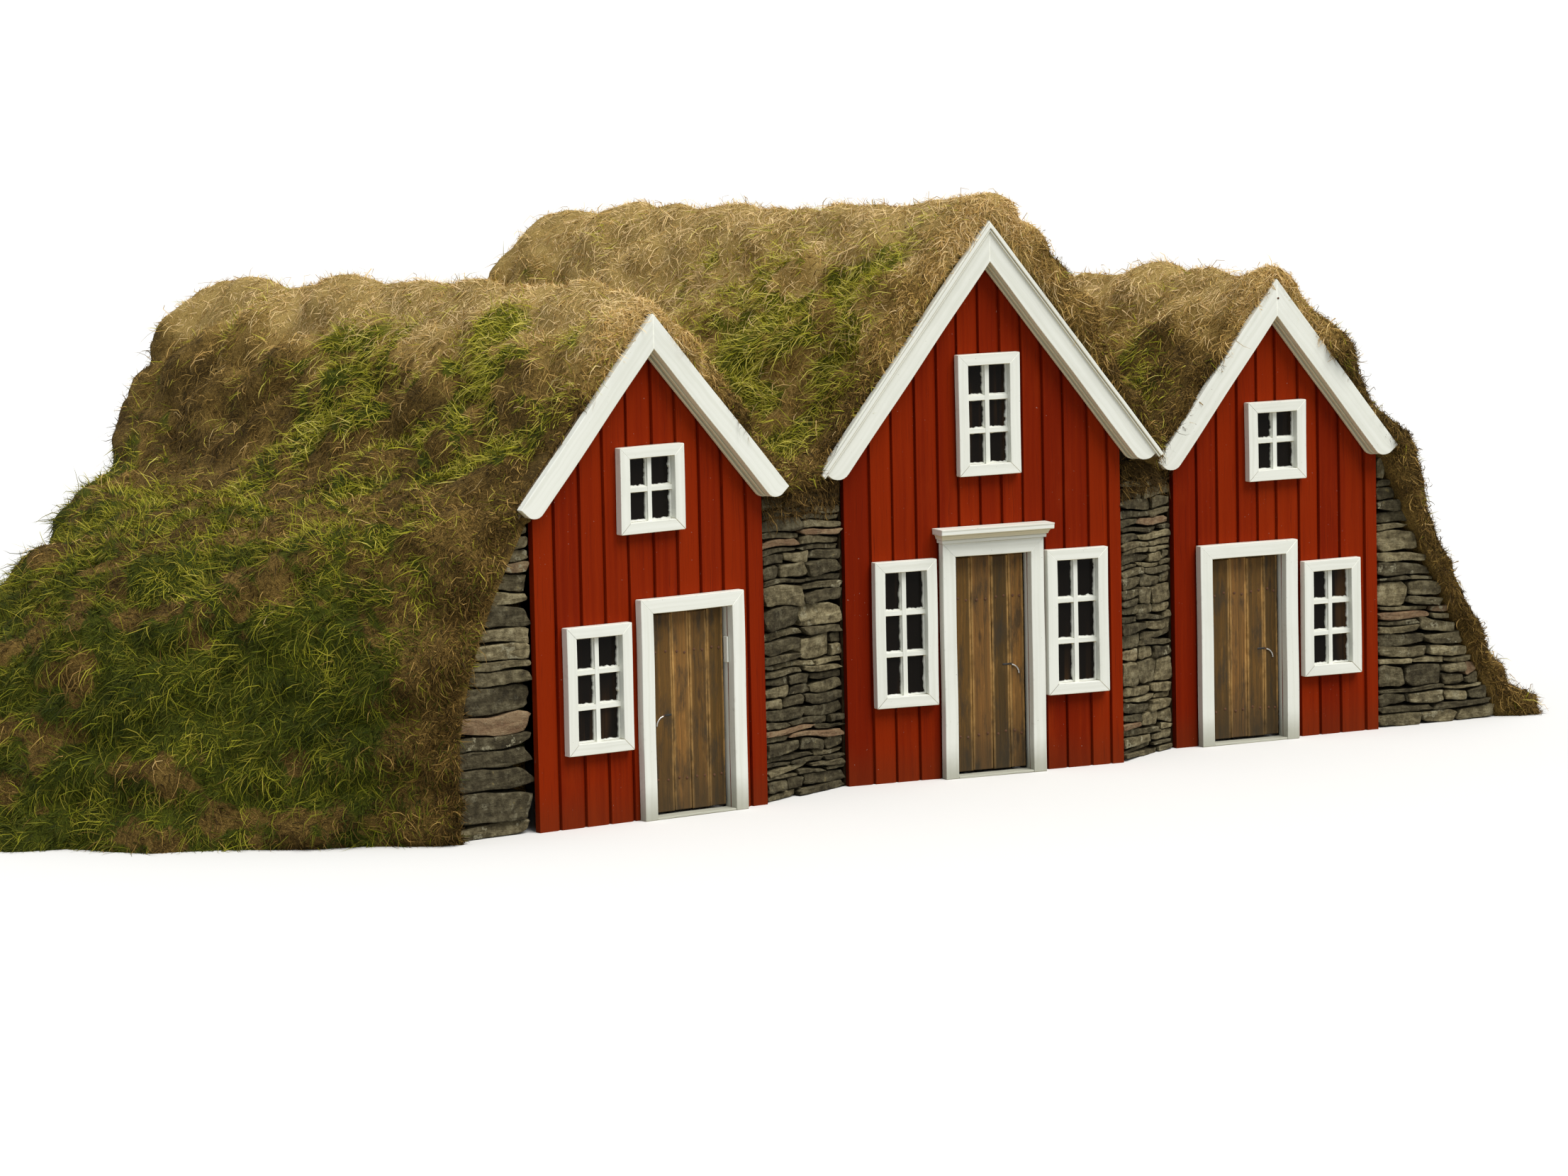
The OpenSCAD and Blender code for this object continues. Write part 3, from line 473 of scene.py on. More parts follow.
def turfMaterial():
    # matted straw and soil between the blades; "green" says where fresh grass grows
    sizes = {"fibres": (((0.3, 0.5, 0.2), 38.0, 330.0), ((-0.4, 0.2, 1.2), 34.0, 290.0),
                        ((0.8, -0.7, 2.3), 42.0, 370.0)),
             "dry": [(0.40, (0.020, 0.011, 0.003)), (0.55, (0.105, 0.063, 0.014)),
                     (0.68, (0.31, 0.195, 0.048)), (0.88, (0.58, 0.41, 0.14))],
             "fresh": [(0.40, (0.010, 0.014, 0.002)), (0.58, (0.055, 0.068, 0.005)),
                       (0.80, (0.16, 0.17, 0.012))]}
    where = newMaterial("turf", Roughness=0.9, Specular_IOR_Level=0.15)
    # each noise is turned first and scaled after, so that it is drawn out along its own direction
    mats, cross, third = [noise(addNode("Mapping", {"vector_type": "TEXTURE"}, Vector=where, Rotation=way,
                                        Scale=(1 / long, 1 / fine, 1 / fine)).outputs[0], 1.0, 2.0, 0.6, 0.9)
                          for way, long, fine in sizes["fibres"]]
    clumps = noise(where, 11.0, 5.0, 0.6)
    fibres = calc("MAXIMUM", third, calc("MAXIMUM", mats, cross))
    # pale lightens the ground: bleached straw and painted sunlight on the ridges, less where painted shade
    # lowers it
    share = plus(plus(times(fibres, 0.7), times(clumps, 0.35)), times(attribute("pale"), 0.24))
    green = plus(attribute("green"), times(calc("SUBTRACT", clumps, 0.5), 0.9))
    colour = mixColours(spread(green, 0.35, 0.65), ramp(share, sizes["dry"]), ramp(share, sizes["fresh"]))
    return finishMaterial(colour, None, share, 0.012)


def bladeMaterial():
    # the blade attribute holds: share of green, own tone (with painted light and shade from the turf's
    # fields), place along the blade
    sizes = {"dry": [(0.0, (0.045, 0.024, 0.006)), (0.30, (0.22, 0.123, 0.029)),
                     (0.62, (0.66, 0.405, 0.125)), (1.0, (0.93, 0.68, 0.36))],
             "fresh": [(0.0, (0.020, 0.036, 0.003)), (0.22, (0.070, 0.095, 0.005)),
                       (0.5, (0.25, 0.26, 0.009)), (0.8, (0.50, 0.48, 0.024)), (1.0, (0.68, 0.62, 0.11))]}
    newMaterial("grassBlades", Roughness=0.7, Specular_IOR_Level=0.12)
    green, tone, place = addNode("SeparateColor", Color=attribute("blade", "Color")).outputs
    colour = mixColours(green, ramp(tone, sizes["dry"]), ramp(tone, sizes["fresh"]))
    # darker towards the root: painted shade deep in the mat
    return finishMaterial(dimmed(colour, spread(place, 0.0, 1.0, 0.72, 1.08)))


def earthMaterial():
    where = newMaterial("rootedEarth", Roughness=0.95, Specular_IOR_Level=0.1)
    roots = noise(scaled(where, 150.0, 150.0, 26.0), 1.0, 3.0, 0.6, 1.2)
    share = plus(times(noise(where, 16.0, 7.0, 0.65), 0.55), times(roots, 0.5))
    stops = [(0.35, (0.010, 0.007, 0.004)), (0.55, (0.035, 0.023, 0.011)), (0.75, (0.095, 0.065, 0.030))]
    return finishMaterial(ramp(share, stops), None, share, 0.012)


def ironMaterial(name, clean, rust):
    where = newMaterial(name, Roughness=0.45, Metallic=1.0)
    rusty = spots(where, 70.0, rust, 0.1)
    streaks = noise(scaled(where, 60.0, 60.0, 300.0), 1.0, 3.0)
    colour = mixColours(spread(streaks, 0.3, 0.7), rgb(clean), rgb([c * 0.6 for c in clean]))
    fill(sheet["surface"]["Metallic"], calc("SUBTRACT", 1.0, rusty))
    rough = plus(times(rusty, 0.45), spread(streaks, 0.2, 0.8, 0.28, 0.5))
    return finishMaterial(tint(colour, rusty, (0.11, 0.045, 0.018)), rough, noise(where, 190.0, 4.0), 0.0006)


whitePaint = whitePaintMaterial("whitePaint", (0.86, 0.875, 0.80), (0.78, 0.795, 0.71))
# the soffit strips' darker beige white is a painted shade
shadedPaint = whitePaintMaterial("shadedWhitePaint", (0.60, 0.57, 0.41), (0.50, 0.47, 0.32))
redPaint = redPaintMaterial()
doorWood = doorWoodMaterial()
roofWood = roofWoodMaterial()
darkGlass = glassMaterial()
wallStone = wallStoneMaterial()
turfGround = turfMaterial()
grassBlades = bladeMaterial()
rootedEarth = earthMaterial()
darkIron = ironMaterial("darkIron", (0.10, 0.095, 0.09), 0.45)
rustyIron = ironMaterial("rustyIron", (0.20, 0.18, 0.16), 0.97)
brightNail = ironMaterial("brightNail", (0.92, 0.90, 0.86), 0.05)
print("materials made")


# laths: every straight piece of timber on the fronts
def lath(u, z, angle, length, across, depth, cuts=(0, 0), tone=0.5, corner=0.0):
    # start, angle, length, from and to across it and in depth, slopes of the start and end cuts, tone,
    # and radius of a rounded corner on the far side (negative: at the start, positive: at the end)
    return (u, z, angle, length, *across, *depth, *cuts, tone, corner)


# rounding of the corners, waviness, and number of stations between the ends
lathKinds = {"frame": (0.0016, 0.0005, 4), "bar": (0.001, 0.0003, 3), "casing": (0.0018, 0.0005, 7),
             "barge": (0.0018, 0.0006, 10), "strip": (0.0025, 0.0004, 8), "cap": (0.002, 0.0004, 8),
             "lowCap": (0.0015, 0.0004, 8), "plank": (0.0026, 0.0004, 8), "slot": (0.0007, 0.0002, 4)}


def laths(table, kind, seed):
    # The section is a rectangle with quarter circles in its corners; it shrinks along a quarter
    # circle at both ends. Station = start + cut * a, running along the angle; across is the angle
    # less 90 degrees. A rounded corner takes radius - root(radius squared - bite squared) off it.
    rounding, wobble, middle = lathKinds[kind]
    columns = np.array(table, float).T[..., None, None]
    u0, z0, angle, length, a0, a1, d0, d1, cut0, cut1, tone, corner = columns
    count = len(table)
    rng = np.random.default_rng(seed)
    r = np.minimum(rounding, np.minimum(a1 - a0, d1 - d0) * 0.3)
    radius = np.abs(corner)
    # stations from the ends: share of the rounding, then of the corner's radius, then of the rest
    near = [np.array([0.015, 0.293, 1.0]) * r[:, 0]]
    if radius.max() > 0:
        near.append(r[:, 0] + (1 - np.cos(np.radians([15, 30, 45, 60, 75, 90]))) * (radius[:, 0] + 0.001))
    near = np.concatenate([np.broadcast_to(n, (count, n.shape[-1])) for n in near], 1)
    inner = near[:, -1:]
    rest = inner + (length[:, 0] - 2 * inner) * np.linspace(0, 1, middle + 2)[1:-1]
    run = np.concatenate([near, rest, length[:, 0] - near[:, ::-1]], 1)[:, :, None]
    swing = np.radians([80.0, 45.0, 0.0])
    flat = np.zeros(run.shape[1] - 2 * len(swing))
    tilt = np.concatenate([swing, flat, swing[::-1]])[None, :, None]
    way = np.where(np.arange(run.shape[1]) < run.shape[1] / 2, -1.0, 1.0)[None, :, None]
    # ring round the section
    phi = np.radians([0, 45, 90, 90, 90, 90, 135, 180, 180, 225, 270, 270, 270, 270, 315, 360])
    sideA = np.repeat([1, -1, 1], [4, 8, 4])
    sideD = np.repeat([1, -1], 8)
    onFace = np.array([0, 0, 0, 1, 1, 0, 0, 0, 0, 0, 0, 1, 1, 0, 0, 0])
    bite = np.maximum(0, radius - np.where(corner > 0, length - run, run))
    high = a1 - np.where(radius > 0, radius - np.sqrt(np.maximum(radius ** 2 - bite ** 2, 0)), 0)
    high = np.maximum(high, a0 + 2.5 * r)
    halfA, midA = (high - a0) / 2, (high + a0) / 2
    halfD, midD = (d1 - d0) / 2, (d1 + d0) / 2
    inset = onFace * np.minimum(0.005, halfA * 0.4)
    outA, outD = np.cos(tilt) * np.cos(phi), np.cos(tilt) * np.sin(phi)
    phases = rng.uniform(0, 6.28, (2, count, 1, 1))
    a = midA + sideA * (halfA - r - inset) + r * outA * (1 - onFace) + wobble * np.sin(run * 17 + phases[0])
    d = midD + sideD * (halfD - r) + r * outD + wobble * 0.7 * np.sin(run * 13 + phases[1])
    place = run + a * (cut0 * (1 - run / length) + cut1 * run / length)
    cosAngle, sinAngle = np.cos(np.radians(angle)), np.sin(np.radians(angle))
    points = np.stack([u0 + place * cosAngle + a * sinAngle, d + 0 * a,
                       z0 + place * sinAngle - a * cosAngle], -1)
    # normals of the rounded section, leaning out along the lath at its ends
    outL = np.sin(tilt) * way + 0 * outA
    normals = np.stack(np.broadcast_arrays(outL * cosAngle + outA * sinAngle, outD,
                                           outL * sinAngle - outA * cosAngle), -1)
    uv = np.stack([place + rng.uniform(0, 9, (count, 1, 1)), (a - midA) + (d - midD)], -1)
    quads, caps = tubeFaces(a.shape[1], a.shape[2], count)
    return {"points": points.reshape(-1, 3), "quads": quads, "caps": caps, "uv": uv.reshape(-1, 2),
            "normals": unit(normals.reshape(-1, 3)), "tone": np.broadcast_to(tone, a.shape).ravel(),
            "edge": np.broadcast_to(1.0 - onFace, a.shape).ravel()}


def lathPiece(name, house, data, material, node=None, body="house"):
    points = onFront(house, *data["points"].T)
    normals = onFront(dict(house, x=0, y=0), *data["normals"].T)
    newPiece(name, [points, data["quads"], data["caps"]], [material], node, body, uv=data["uv"],
             normals=normals, values={"tone": data["tone"], "edge": data["edge"]})


windowSizes = {"bar": 0.0125, "barFace": -0.009, "proud": 0.0008, "lap": 0.001, "putty": 0.0042,
               "puttyThin": 0.0018, "ragged": 0.0017, "steps": 22, "depths": (-0.0035, -0.0022, 0.0029)}


def puttyRibbons(name, house, panes, seed):
    # Round each pane: the outer line is the pane's edge, and the inner line is that line held
    # inside a smaller rectangle whose margins wander. Three points across make a sloping fillet.
    rng = np.random.default_rng(seed)
    t = np.linspace(0, 1, windowSizes["steps"], endpoint=False)
    zero, one = 0 * t, 1 + 0 * t
    runU, runZ = np.concatenate([t, one, 1 - t, zero]), np.concatenate([zero, t, one, 1 - t])
    u0, z0, u1, z1 = np.array(panes).T[..., None]
    u, z = u0 + runU * (u1 - u0), z0 + runZ * (z1 - z0)
    wander = rng.normal(size=(*u.shape, 4)) * windowSizes["ragged"] * 0.5
    wander = (wander + np.roll(wander, 1, 1) + np.roll(wander, 2, 1)) / 1.6
    wander *= np.array([0.35, 0.7, 1.0, 0.35]) * (0.4 + 1.2 * rng.random((len(panes), 1, 1)))
    thick, thin = windowSizes["putty"], windowSizes["puttyThin"]
    margins = np.maximum(np.array([thin, thick, thick, thin]) + wander, 0.0006)
    inU = np.clip(u, u0 + margins[..., 0], u1 - margins[..., 2])
    inZ = np.clip(z, z0 + margins[..., 1], z1 - margins[..., 3])
    face, slope, back = windowSizes["depths"]
    lines = ((u, face, z), ((u * 2 + inU) / 3, slope, (z * 2 + inZ) / 3), (inU, back, inZ), (u, back, z))
    points = np.stack([onFront(house, *line) for line in lines], 2)
    quads = gridQuads(u.shape[1], len(lines), True, True, len(panes))[:, [0, 3, 2, 1]]
    points = points.reshape(-1, 3)
    newPiece(name, [points, quads], [whitePaint], uv=points[:, [2, 0]], values={"edge": 0, "tone": 0.5})


def between(start, size, count):
    # low and high edges of the panes between bars
    k, half = np.arange(count), windowSizes["bar"] / 2
    low = start + size * k / count + half * (k > 0)
    return list(zip(low, start + size * (k + 1) / count - half * (k < count - 1)))


def windowPieces(name, house, seed):
    bar, lap, face = windowSizes["bar"] / 2, windowSizes["lap"], windowSizes["barFace"]
    half, thick = timber["lath"] / 2, (-timber["lathThick"], 0.0)
    frames, bars, panes = [], [], []
    for middle, sill, width, height, across, up in house["windows"]:
        left = middle - width / 2
        # four laths round the opening, mitred: their centre lines run round it
        start, end, low, top = left - half, middle + width / 2 + half, sill - half, sill + height + half
        for k, (u, z) in enumerate(((start, low), (end, low), (end, top), (start, top))):
            long = (height if k % 2 else width) + 2 * half
            frames.append(lath(u, z, 90 * k, long, (-half, half), thick, (-1, 1)))
        for k in range(1, across):
            bars.append(lath(left + width * k / across, sill - lap, 90, height + 2 * lap, (-bar, bar),
                             (face, timber["pane"])))
        for k in range(1, up):
            bars.append(lath(left - lap, sill + height * k / up, 0, width + 2 * lap, (-bar, bar),
                             (face + windowSizes["proud"], timber["pane"])))
        panes += [(*us, *zs) for us in between(left, width, across) for zs in between(sill, height, up)]
    both = joined([laths(frames, "frame", seed), laths(bars, "bar", seed + 1)])
    lathPiece(name + "WindowLaths", house, both, whitePaint, name + "_window_frames")
    puttyRibbons(name + "WindowPutty", house, np.array(panes)[:, [0, 2, 1, 3]], seed + 2)
    paintNode(name + "_glass", darkGlass)


# boarded fronts
boarding = {"groove": 0.0098, "slope": 0.0150, "wall": 0.0014, "beyond": 0.008, "cup": 0.0006,
            "stagger": 0.0016, "wave": 0.0004, "cell": 0.035, "under": 0.0003}


def frontTop(house, u):
    # underside of the roof boards over the face or the back of the front, whichever is lower
    tops = []
    for back in (0.0, timber["board"]):
        y = house["y"] + u * house["sinTurn"] + back * house["cosTurn"]
        beside = u - back * house["sinTurn"] / house["cosTurn"]
        tops.append(deckTop(house, beside) - house["drop"] - down(y))
    return np.minimum(*tops) - boarding["under"]


def frontBoards(name, house, seed):
    # A grid over u and z: its depth is a groove at each joint (a soft slope on the left board, a
    # steep wall on the right one), a slight hollow across each board and its own small setback.
    # Cells over the openings are left out, and walls join face and back along every open side.
    rng = np.random.default_rng(seed)
    left, right = frontEdge(house, -1), frontEdge(house, 1)
    joints = np.array([left, *house["joints"], right])
    count = len(joints) - 1
    doorU, doorWidth, doorHeight = house["door"]
    openings = [(doorU, 0.0, doorWidth, doorHeight)] + [window[:4] for window in house["windows"]]
    holes = np.array([(m - w / 2, m + w / 2, s, s + h) for m, s, w, h in openings])
    groove, slope, wall = boarding["groove"], boarding["slope"], boarding["wall"]
    offsets = np.concatenate([np.linspace(-1, 0, 6) * slope, [wall * 0.5, wall, boarding["beyond"]]])
    lines = np.concatenate([(joints[:, None] + offsets).ravel(), (joints[:-1] + joints[1:]) / 2, [0.0],
                            holes[:, :2].ravel()])
    us = np.unique(np.round(np.clip(lines, left, right), 5))
    levels = np.concatenate([np.arange(0, house["apex"], boarding["cell"]), holes[:, 2:].ravel()])
    zs = np.unique(np.round(levels, 5))
    board = np.clip(np.searchsorted(joints, us + 1e-6) - 1, 0, count - 1)
    setback = rng.uniform(0, boarding["stagger"], count)
    near = joints[np.argmin(np.abs(us[:, None] - joints), 1)]
    gap = us - near
    inner = (near > left + 1e-6) & (near < right - 1e-6)
    deep = np.where(gap < 0, np.clip(1 + gap / slope, 0, 1) ** 1.7, 1 - smoothStep(0, wall, gap))
    fromMiddle = (us - (joints[board] + joints[board + 1]) / 2) / (joints[board + 1] - joints[board]) * 2
    hollow = boarding["cup"] * (1 - fromMiddle ** 2)
    alongFront, heights = np.meshgrid(us, zs, indexing="ij")
    depth = (groove * deep * inner + hollow + setback[board])[:, None]
    places = np.stack([alongFront * 3, 0 * alongFront, heights], -1)
    depth = depth + boarding["wave"] * waves(places, 0.2, seed, 7)
    heights = np.minimum(heights, frontTop(house, us)[:, None])
    points = np.concatenate([onFront(house, alongFront, np.maximum(depth, 0), heights).reshape(-1, 3),
                             onFront(house, alongFront, timber["board"], heights).reshape(-1, 3)])
    nz, shift = len(zs), alongFront.size
    midU, midZ = np.meshgrid((us[:-1] + us[1:]) / 2, (zs[:-1] + zs[1:]) / 2, indexing="ij")
    low, high, bottom, top = holes.T[..., None, None]
    inHole = ((midU > low) & (midU < high) & (midZ > bottom) & (midZ < top)).any(0)
    solid = (heights[:-1, 1:] + heights[1:, 1:] - heights[:-1, :-1] - heights[1:, :-1] > 1e-5) & ~inHole
    number = np.arange(shift).reshape(alongFront.shape)
    corners = [number[:-1, :-1], number[1:, :-1], number[1:, 1:], number[:-1, 1:]]
    tones = np.tile(np.repeat(rng.uniform(0, 1, count)[board], nz), 2)
    uv = np.tile(np.stack([heights + 3.1 * board[:, None], alongFront], -1).reshape(-1, 2), (2, 1))
    parts = {"BesideLeft": ("_beside_left", (midU < doorU - doorWidth / 2) & (midZ < doorHeight)),
             "BesideRight": ("_beside_right", (midU > doorU + doorWidth / 2) & (midZ < doorHeight)),
             "Over": ("_over", midZ > doorHeight)}
    for part, (ending, region) in parts.items():
        kept = solid & region
        fronts = np.stack([c[kept] for c in corners], -1)
        faces, slots = [fronts, fronts[:, ::-1] + shift], [np.zeros(len(fronts)), np.full(len(fronts), 2)]
        for du, dz, first, second in ((-1, 0, 3, 0), (1, 0, 1, 2), (0, -1, 0, 1), (0, 1, 2, 3)):
            beside, hole = [np.pad(field, 1)[1 + du:kept.shape[0] + 1 + du, 1 + dz:kept.shape[1] + 1 + dz]
                            for field in (kept, inHole)]
            free = kept & ~beside
            a, b = corners[first][free], corners[second][free]
            faces.append(np.stack([b, a, a + shift, b + shift], -1))
            # the edges that show in the openings are white
            slots.append(np.where(hole[free], 1, 0))
        faces = np.concatenate(faces)
        used, renumbered = np.unique(faces, return_inverse=True)
        newPiece(name + "Boards" + part, [points[used], renumbered.reshape(faces.shape)],
                 [redPaint, whitePaint, roofWood], name + "_front" + ending,
                 slots=np.concatenate(slots), values={"tone": tones[used], "edge": 0}, uv=uv[used], sharp=32)


# casings, barge boards and the cornice
casingSizes = {"sillIn": 0.001, "hinge": 0.72, "hingeIn": 0.002, "hingeLong": 0.066,
               "hingeAcross": (-0.0035, 0.0015), "hingeDepth": (-0.006, 0.0095)}


def casingPiece(name, house, seed):
    middle, width, height = house["door"]
    half, sill, depth = timber["casing"] / 2, timber["sill"] / 2, (-timber["casingThick"], 0.0)
    left, right, across = middle - width / 2, middle + width / 2, (-half, half)
    rows = [lath(left - half, height + half, 270, height + half, across, depth, (-1, 0)),
            lath(right + half, 0, 90, height + half, across, depth, (0, 1)),
            lath(right + half, height + half, 180, width + 2 * half, across, depth, (-1, 1)),
            lath(left, sill, 0, width, (-sill, sill), (depth[0] + casingSizes["sillIn"], timber["board"]))]
    if name == "left":
        # the hinge leaf beside the door
        rows.append(lath(right - casingSizes["hingeIn"], height * casingSizes["hinge"], 90,
                         casingSizes["hingeLong"], casingSizes["hingeAcross"], casingSizes["hingeDepth"]))
    lathPiece(name + "DoorCasing", house, laths(rows, "casing", seed), whitePaint, name + "_door_casing")


# a strip: from and to beyond the barge board's lower edge, from and to in depth, and how much
# longer it is; a cap: from and to across the board, how far it stands out, and its kind
bargeSizes = {"corner": 0.6, "nail": 0.0032, "nailPlace": (0.003, 0.052), "nailLift": 0.8,
              "strips": ((-0.026, 0.0035, -0.0268, -0.0150, -0.003),
                         (-0.030, 0.0085, -0.0125, -0.0008, -0.006)),
              "caps": ((0.003, 0.0125, 0.010, "cap"), (0.0135, 0.0175, 0.006, "lowCap")), "capLong": 0.012}


def bargePieces(name, house, seed):
    wide, span, apex = house["bargeWidth"], house["span"], house["apex"]
    long, low = span / house["cosPitch"], apex - span * house["tan"]
    face, back, corner = -timber["verge"] - timber["barge"], -timber["verge"], bargeSizes["corner"] * wide

    def pair(across, depth, more=0.0, curve=0.0):
        # the two sides of the gable, mitred at the apex
        startU, startZ = -span - more * house["cosPitch"], low - more * house["sinPitch"]
        return [lath(0, apex, -house["pitch"], long + more, across, depth, (house["tan"], 0), corner=curve),
                lath(startU, startZ, house["pitch"], long + more, across, depth, (0, -house["tan"]),
                     corner=-curve)]

    boards = laths(pair((0, wide), (face, back), 0.0, corner), "barge", seed)
    lathPiece(name + "BargeBoards", house, boards, whitePaint, name + "_barge_boards")
    if name == "right":
        u, below = bargeSizes["nailPlace"]
        nail = domes(house, [(u, apex - below)], bargeSizes["nail"], face, bargeSizes["nailLift"])
        newPiece("rightBargeNail", nail, [rustyIron], sharp=40)
    # grooved strips that close the gap between barge boards and boarded front from below, in a darker beige
    # white that is painted shade
    strips = []
    for a0, a1, d0, d1, more in bargeSizes["strips"]:
        strips += pair((wide + a0, wide + a1), (d0, d1), more, corner)
    lathPiece(name + "SoffitStrips", house, laths(strips, "strip", seed + 1), shadedPaint)
    if name == "middle":
        caps = [laths(pair((a0, a1), (face - out, face), bargeSizes["capLong"]), kind, seed + 2)
                for a0, a1, out, kind in bargeSizes["caps"]]
        lathPiece("middleCapStrip", house, joined(caps), whitePaint, "middle_barge_cap")


# the profile is height and share of the overhang
corniceSizes = {"side": 0.017, "out": 0.060, "soft": 0.0012, "inner": 0.33,
                "profile": [(0.0, 0.02), (0.0008, 0.24), (0.0082, 0.27), (0.0086, 0.20), (0.0102, 0.21),
                            (0.0106, 0.42), (0.0150, 0.47), (0.0190, 0.56), (0.0212, 0.64), (0.0216, 0.56),
                            (0.0230, 0.57), (0.0234, 0.92), (0.0255, 0.955), (0.0345, 0.965),
                            (0.0350, 0.985), (0.0384, 1.0), (0.039, 0.985)]}


def cornicePiece(house):
    # a moulded profile carried round three sides, mitred: the thickness of the casing + the rest
    # of the overhang times the profile's share of it
    middle, width, height = house["door"]
    z, share = np.array(corniceSizes["profile"]).T
    side = width / 2 + timber["casing"] + corniceSizes["side"] * share
    out = timber["casingThick"] + (corniceSizes["out"] - timber["casingThick"]) * share
    soft, inner = corniceSizes["soft"], side * corniceSizes["inner"]
    u = np.stack([-side, -side, -side + soft, -inner, inner, side - soft, side, side], 1) + middle
    d = np.stack([0 * z, -out + soft, -out, -out, -out, -out, -out + soft, 0 * z], 1)
    heights = np.broadcast_to((height + timber["casing"] + z)[:, None], u.shape)
    points = onFront(house, u, d, heights).reshape(-1, 3)
    newPiece("middleCornice", [points, *tubeFaces(*u.shape)], [whitePaint], "middle_door_cornice",
             uv=np.stack([u, heights], -1).reshape(-1, 2),
             values={"tone": 0.5, "edge": 0}, sharp=24)


# doors
doorSizes = {"seam": 0.0009, "high": 0.0008, "short": 0.0014, "deep": 0.0006, "nail": 0.0036,
             "nailSides": (0.28, 0.72), "stray": 0.006, "slot": 0.026, "slotHalf": 0.0024, "slotUp": 0.0015,
             "slotDepth": (-0.0009, 0.002), "hingeIn": 0.018, "freeIn": 0.006, "ledgeTone": 0.35,
             "hookTurn": 80}


def domes(house, centres, radius, depth, lift=0.45):
    # flat caps: rings of eight at shares of the radius, raised by lift * radius * (1 - share squared)
    centres = np.array(centres)[..., None, None]
    angles = np.linspace(0, 2 * np.pi, 8, endpoint=False)
    shares = np.array([1.0, 1.0, 0.72, 0.35])[:, None]
    raised = np.array([-0.3, 0.25, 0.75, 0.97])[:, None] * lift * radius
    u, z = centres[:, 0] + radius * shares * np.cos(angles), centres[:, 1] + radius * shares * np.sin(angles)
    return [onFront(house, u, depth - raised, z).reshape(-1, 3), *tubeFaces(4, 8, len(centres))]


def doorPieces(name, house, seed):
    middle, width, height = house["door"]
    leaf = width - 2 * timber["doorGap"]
    left, low, top = middle - leaf / 2, timber["doorFoot"], height - timber["doorGap"]
    edges = [left, *house["planks"], left + leaf]
    face, seam, body = timber["doorFace"], doorSizes["seam"] / 2, name + "_door_leaf"
    back = face + timber["doorThick"]
    # every second plank stands back and starts higher, and the others are shorter
    rows = []
    for k, tone in enumerate(house["plankTones"]):
        odd = k % 2
        start, long = low + doorSizes["high"] * odd, top - low - doorSizes["short"] * (1 - odd)
        rows.append(lath(edges[k], start, 90, long, (seam, edges[k + 1] - edges[k] - seam),
                         (face + doorSizes["deep"] * odd, back), tone=tone))
    startIn, endIn = doorSizes["freeIn"], doorSizes["hingeIn"]
    if house["hang"] < 0:
        startIn, endIn = endIn, startIn
    half = timber["ledgeWidth"] / 2
    for share in timber["ledges"]:
        rows.append(lath(left + startIn, height * share, 0, leaf - startIn - endIn, (-half, half),
                         (back, back + timber["ledgeThick"]), tone=doorSizes["ledgeTone"]))
    lathPiece(name + "DoorPlanks", house, laths(rows, "plank", seed), doorWood, name + "_door", body)
    rng = np.random.default_rng(seed)
    stray = doorSizes["stray"]
    nails = [(edges[k] * (1 - side) + edges[k + 1] * side, height * share + rng.uniform(-stray, stray))
             for k in range(4) for side in doorSizes["nailSides"] for share in timber["ledges"]]
    shape = domes(house, nails, doorSizes["nail"], face)
    newPiece(name + "DoorNails", shape, [rustyIron], body=body, sharp=40)
    # the latch slot: a thin dark iron strip in the face, painted shade standing in for the slit, beside the
    # bright hooked nail
    hook = leaf - timber["latchEdge"] + timber["latchRadius"] * math.cos(math.radians(doorSizes["hookTurn"]))
    slot, high, (front, behind) = doorSizes["slot"], doorSizes["slotHalf"], doorSizes["slotDepth"]
    start = left + hook - slot if house["hang"] < 0 else left + leaf - hook
    slit = lath(start, height * timber["latchHigh"] + doorSizes["slotUp"], 0, slot, (-high, high),
                (face + front, face + behind))
    lathPiece(name + "LatchSlotShade", house, laths([slit], "slot", seed), darkIron, None, body)
    paintNode(name + "_door_iron", brightNail)


# turf
# pairs are for the left and the right end; swells, sods, mid and fine are the height of the lumps,
# the length of their waves, seed and number of waves
turf = {"roomLength": 1.900, "lip": 0.018, "seat": 0.0003, "fall": 2.85, "valleyOver": 0.023,
        "edgeOver": (-0.014, 0.023), "edgeOut": (0.450, 0.412), "foot": (0.610, 0.885),
        "footOut": (1.000, 0.430), "footRun": 1.000, "wallLap": 0.040, "backValley": 0.380, "backPower": 6,
        "valleyPower": 5, "seamShare": 0.25, "liftShare": 0.06, "leftPower": (1.1, 2.1, 8.0),
        "rightPower": 1.55, "stoneFoot": (0.242, 0.392), "stoneTop": 0.012, "stoneGap": 0.006,
        "stoneBelow": 0.012, "stoneIn": 0.014, "stoneThick": 0.120, "flankColumns": 84, "rows": 112,
        "crowding": 1.12, "backRows": 56, "cell": 0.0115, "rim": (0.22, 0.45, 0.68, 0.88), "rimOut": 0.020,
        "swells": (0.020, 0.55, 3, 9), "sods": (0.022, 0.30, 6, 5), "mid": (0.010, 0.13, 4, 11),
        "fine": (0.005, 0.05, 5, 13), "easeTurns": 150, "easeFrom": (0.30, 0.12), "swell": 0.075,
        "swellTop": 0.82, "swellRun": 0.30}
frontLine = np.array([onFront(house, side * house["span"], 0, 0)[:2] for house in houses.values()
                      for side in (-1, 1)])


def frontY(x):
    return np.interp(x, frontLine[:, 0], frontLine[:, 1])


def behindFront(points):
    return points[..., 1] - frontY(points[..., 0])


def turfY(x, t):
    start = frontY(x) - turf["lip"]
    return start + (turf["roomLength"] - start) * t


def down(y):
    # the roofs fall towards the back
    return y * math.tan(math.radians(turf["fall"]))


def deckX(house, side):
    return house["x"] + side * house["deckSpan"] * house["cosTurn"]


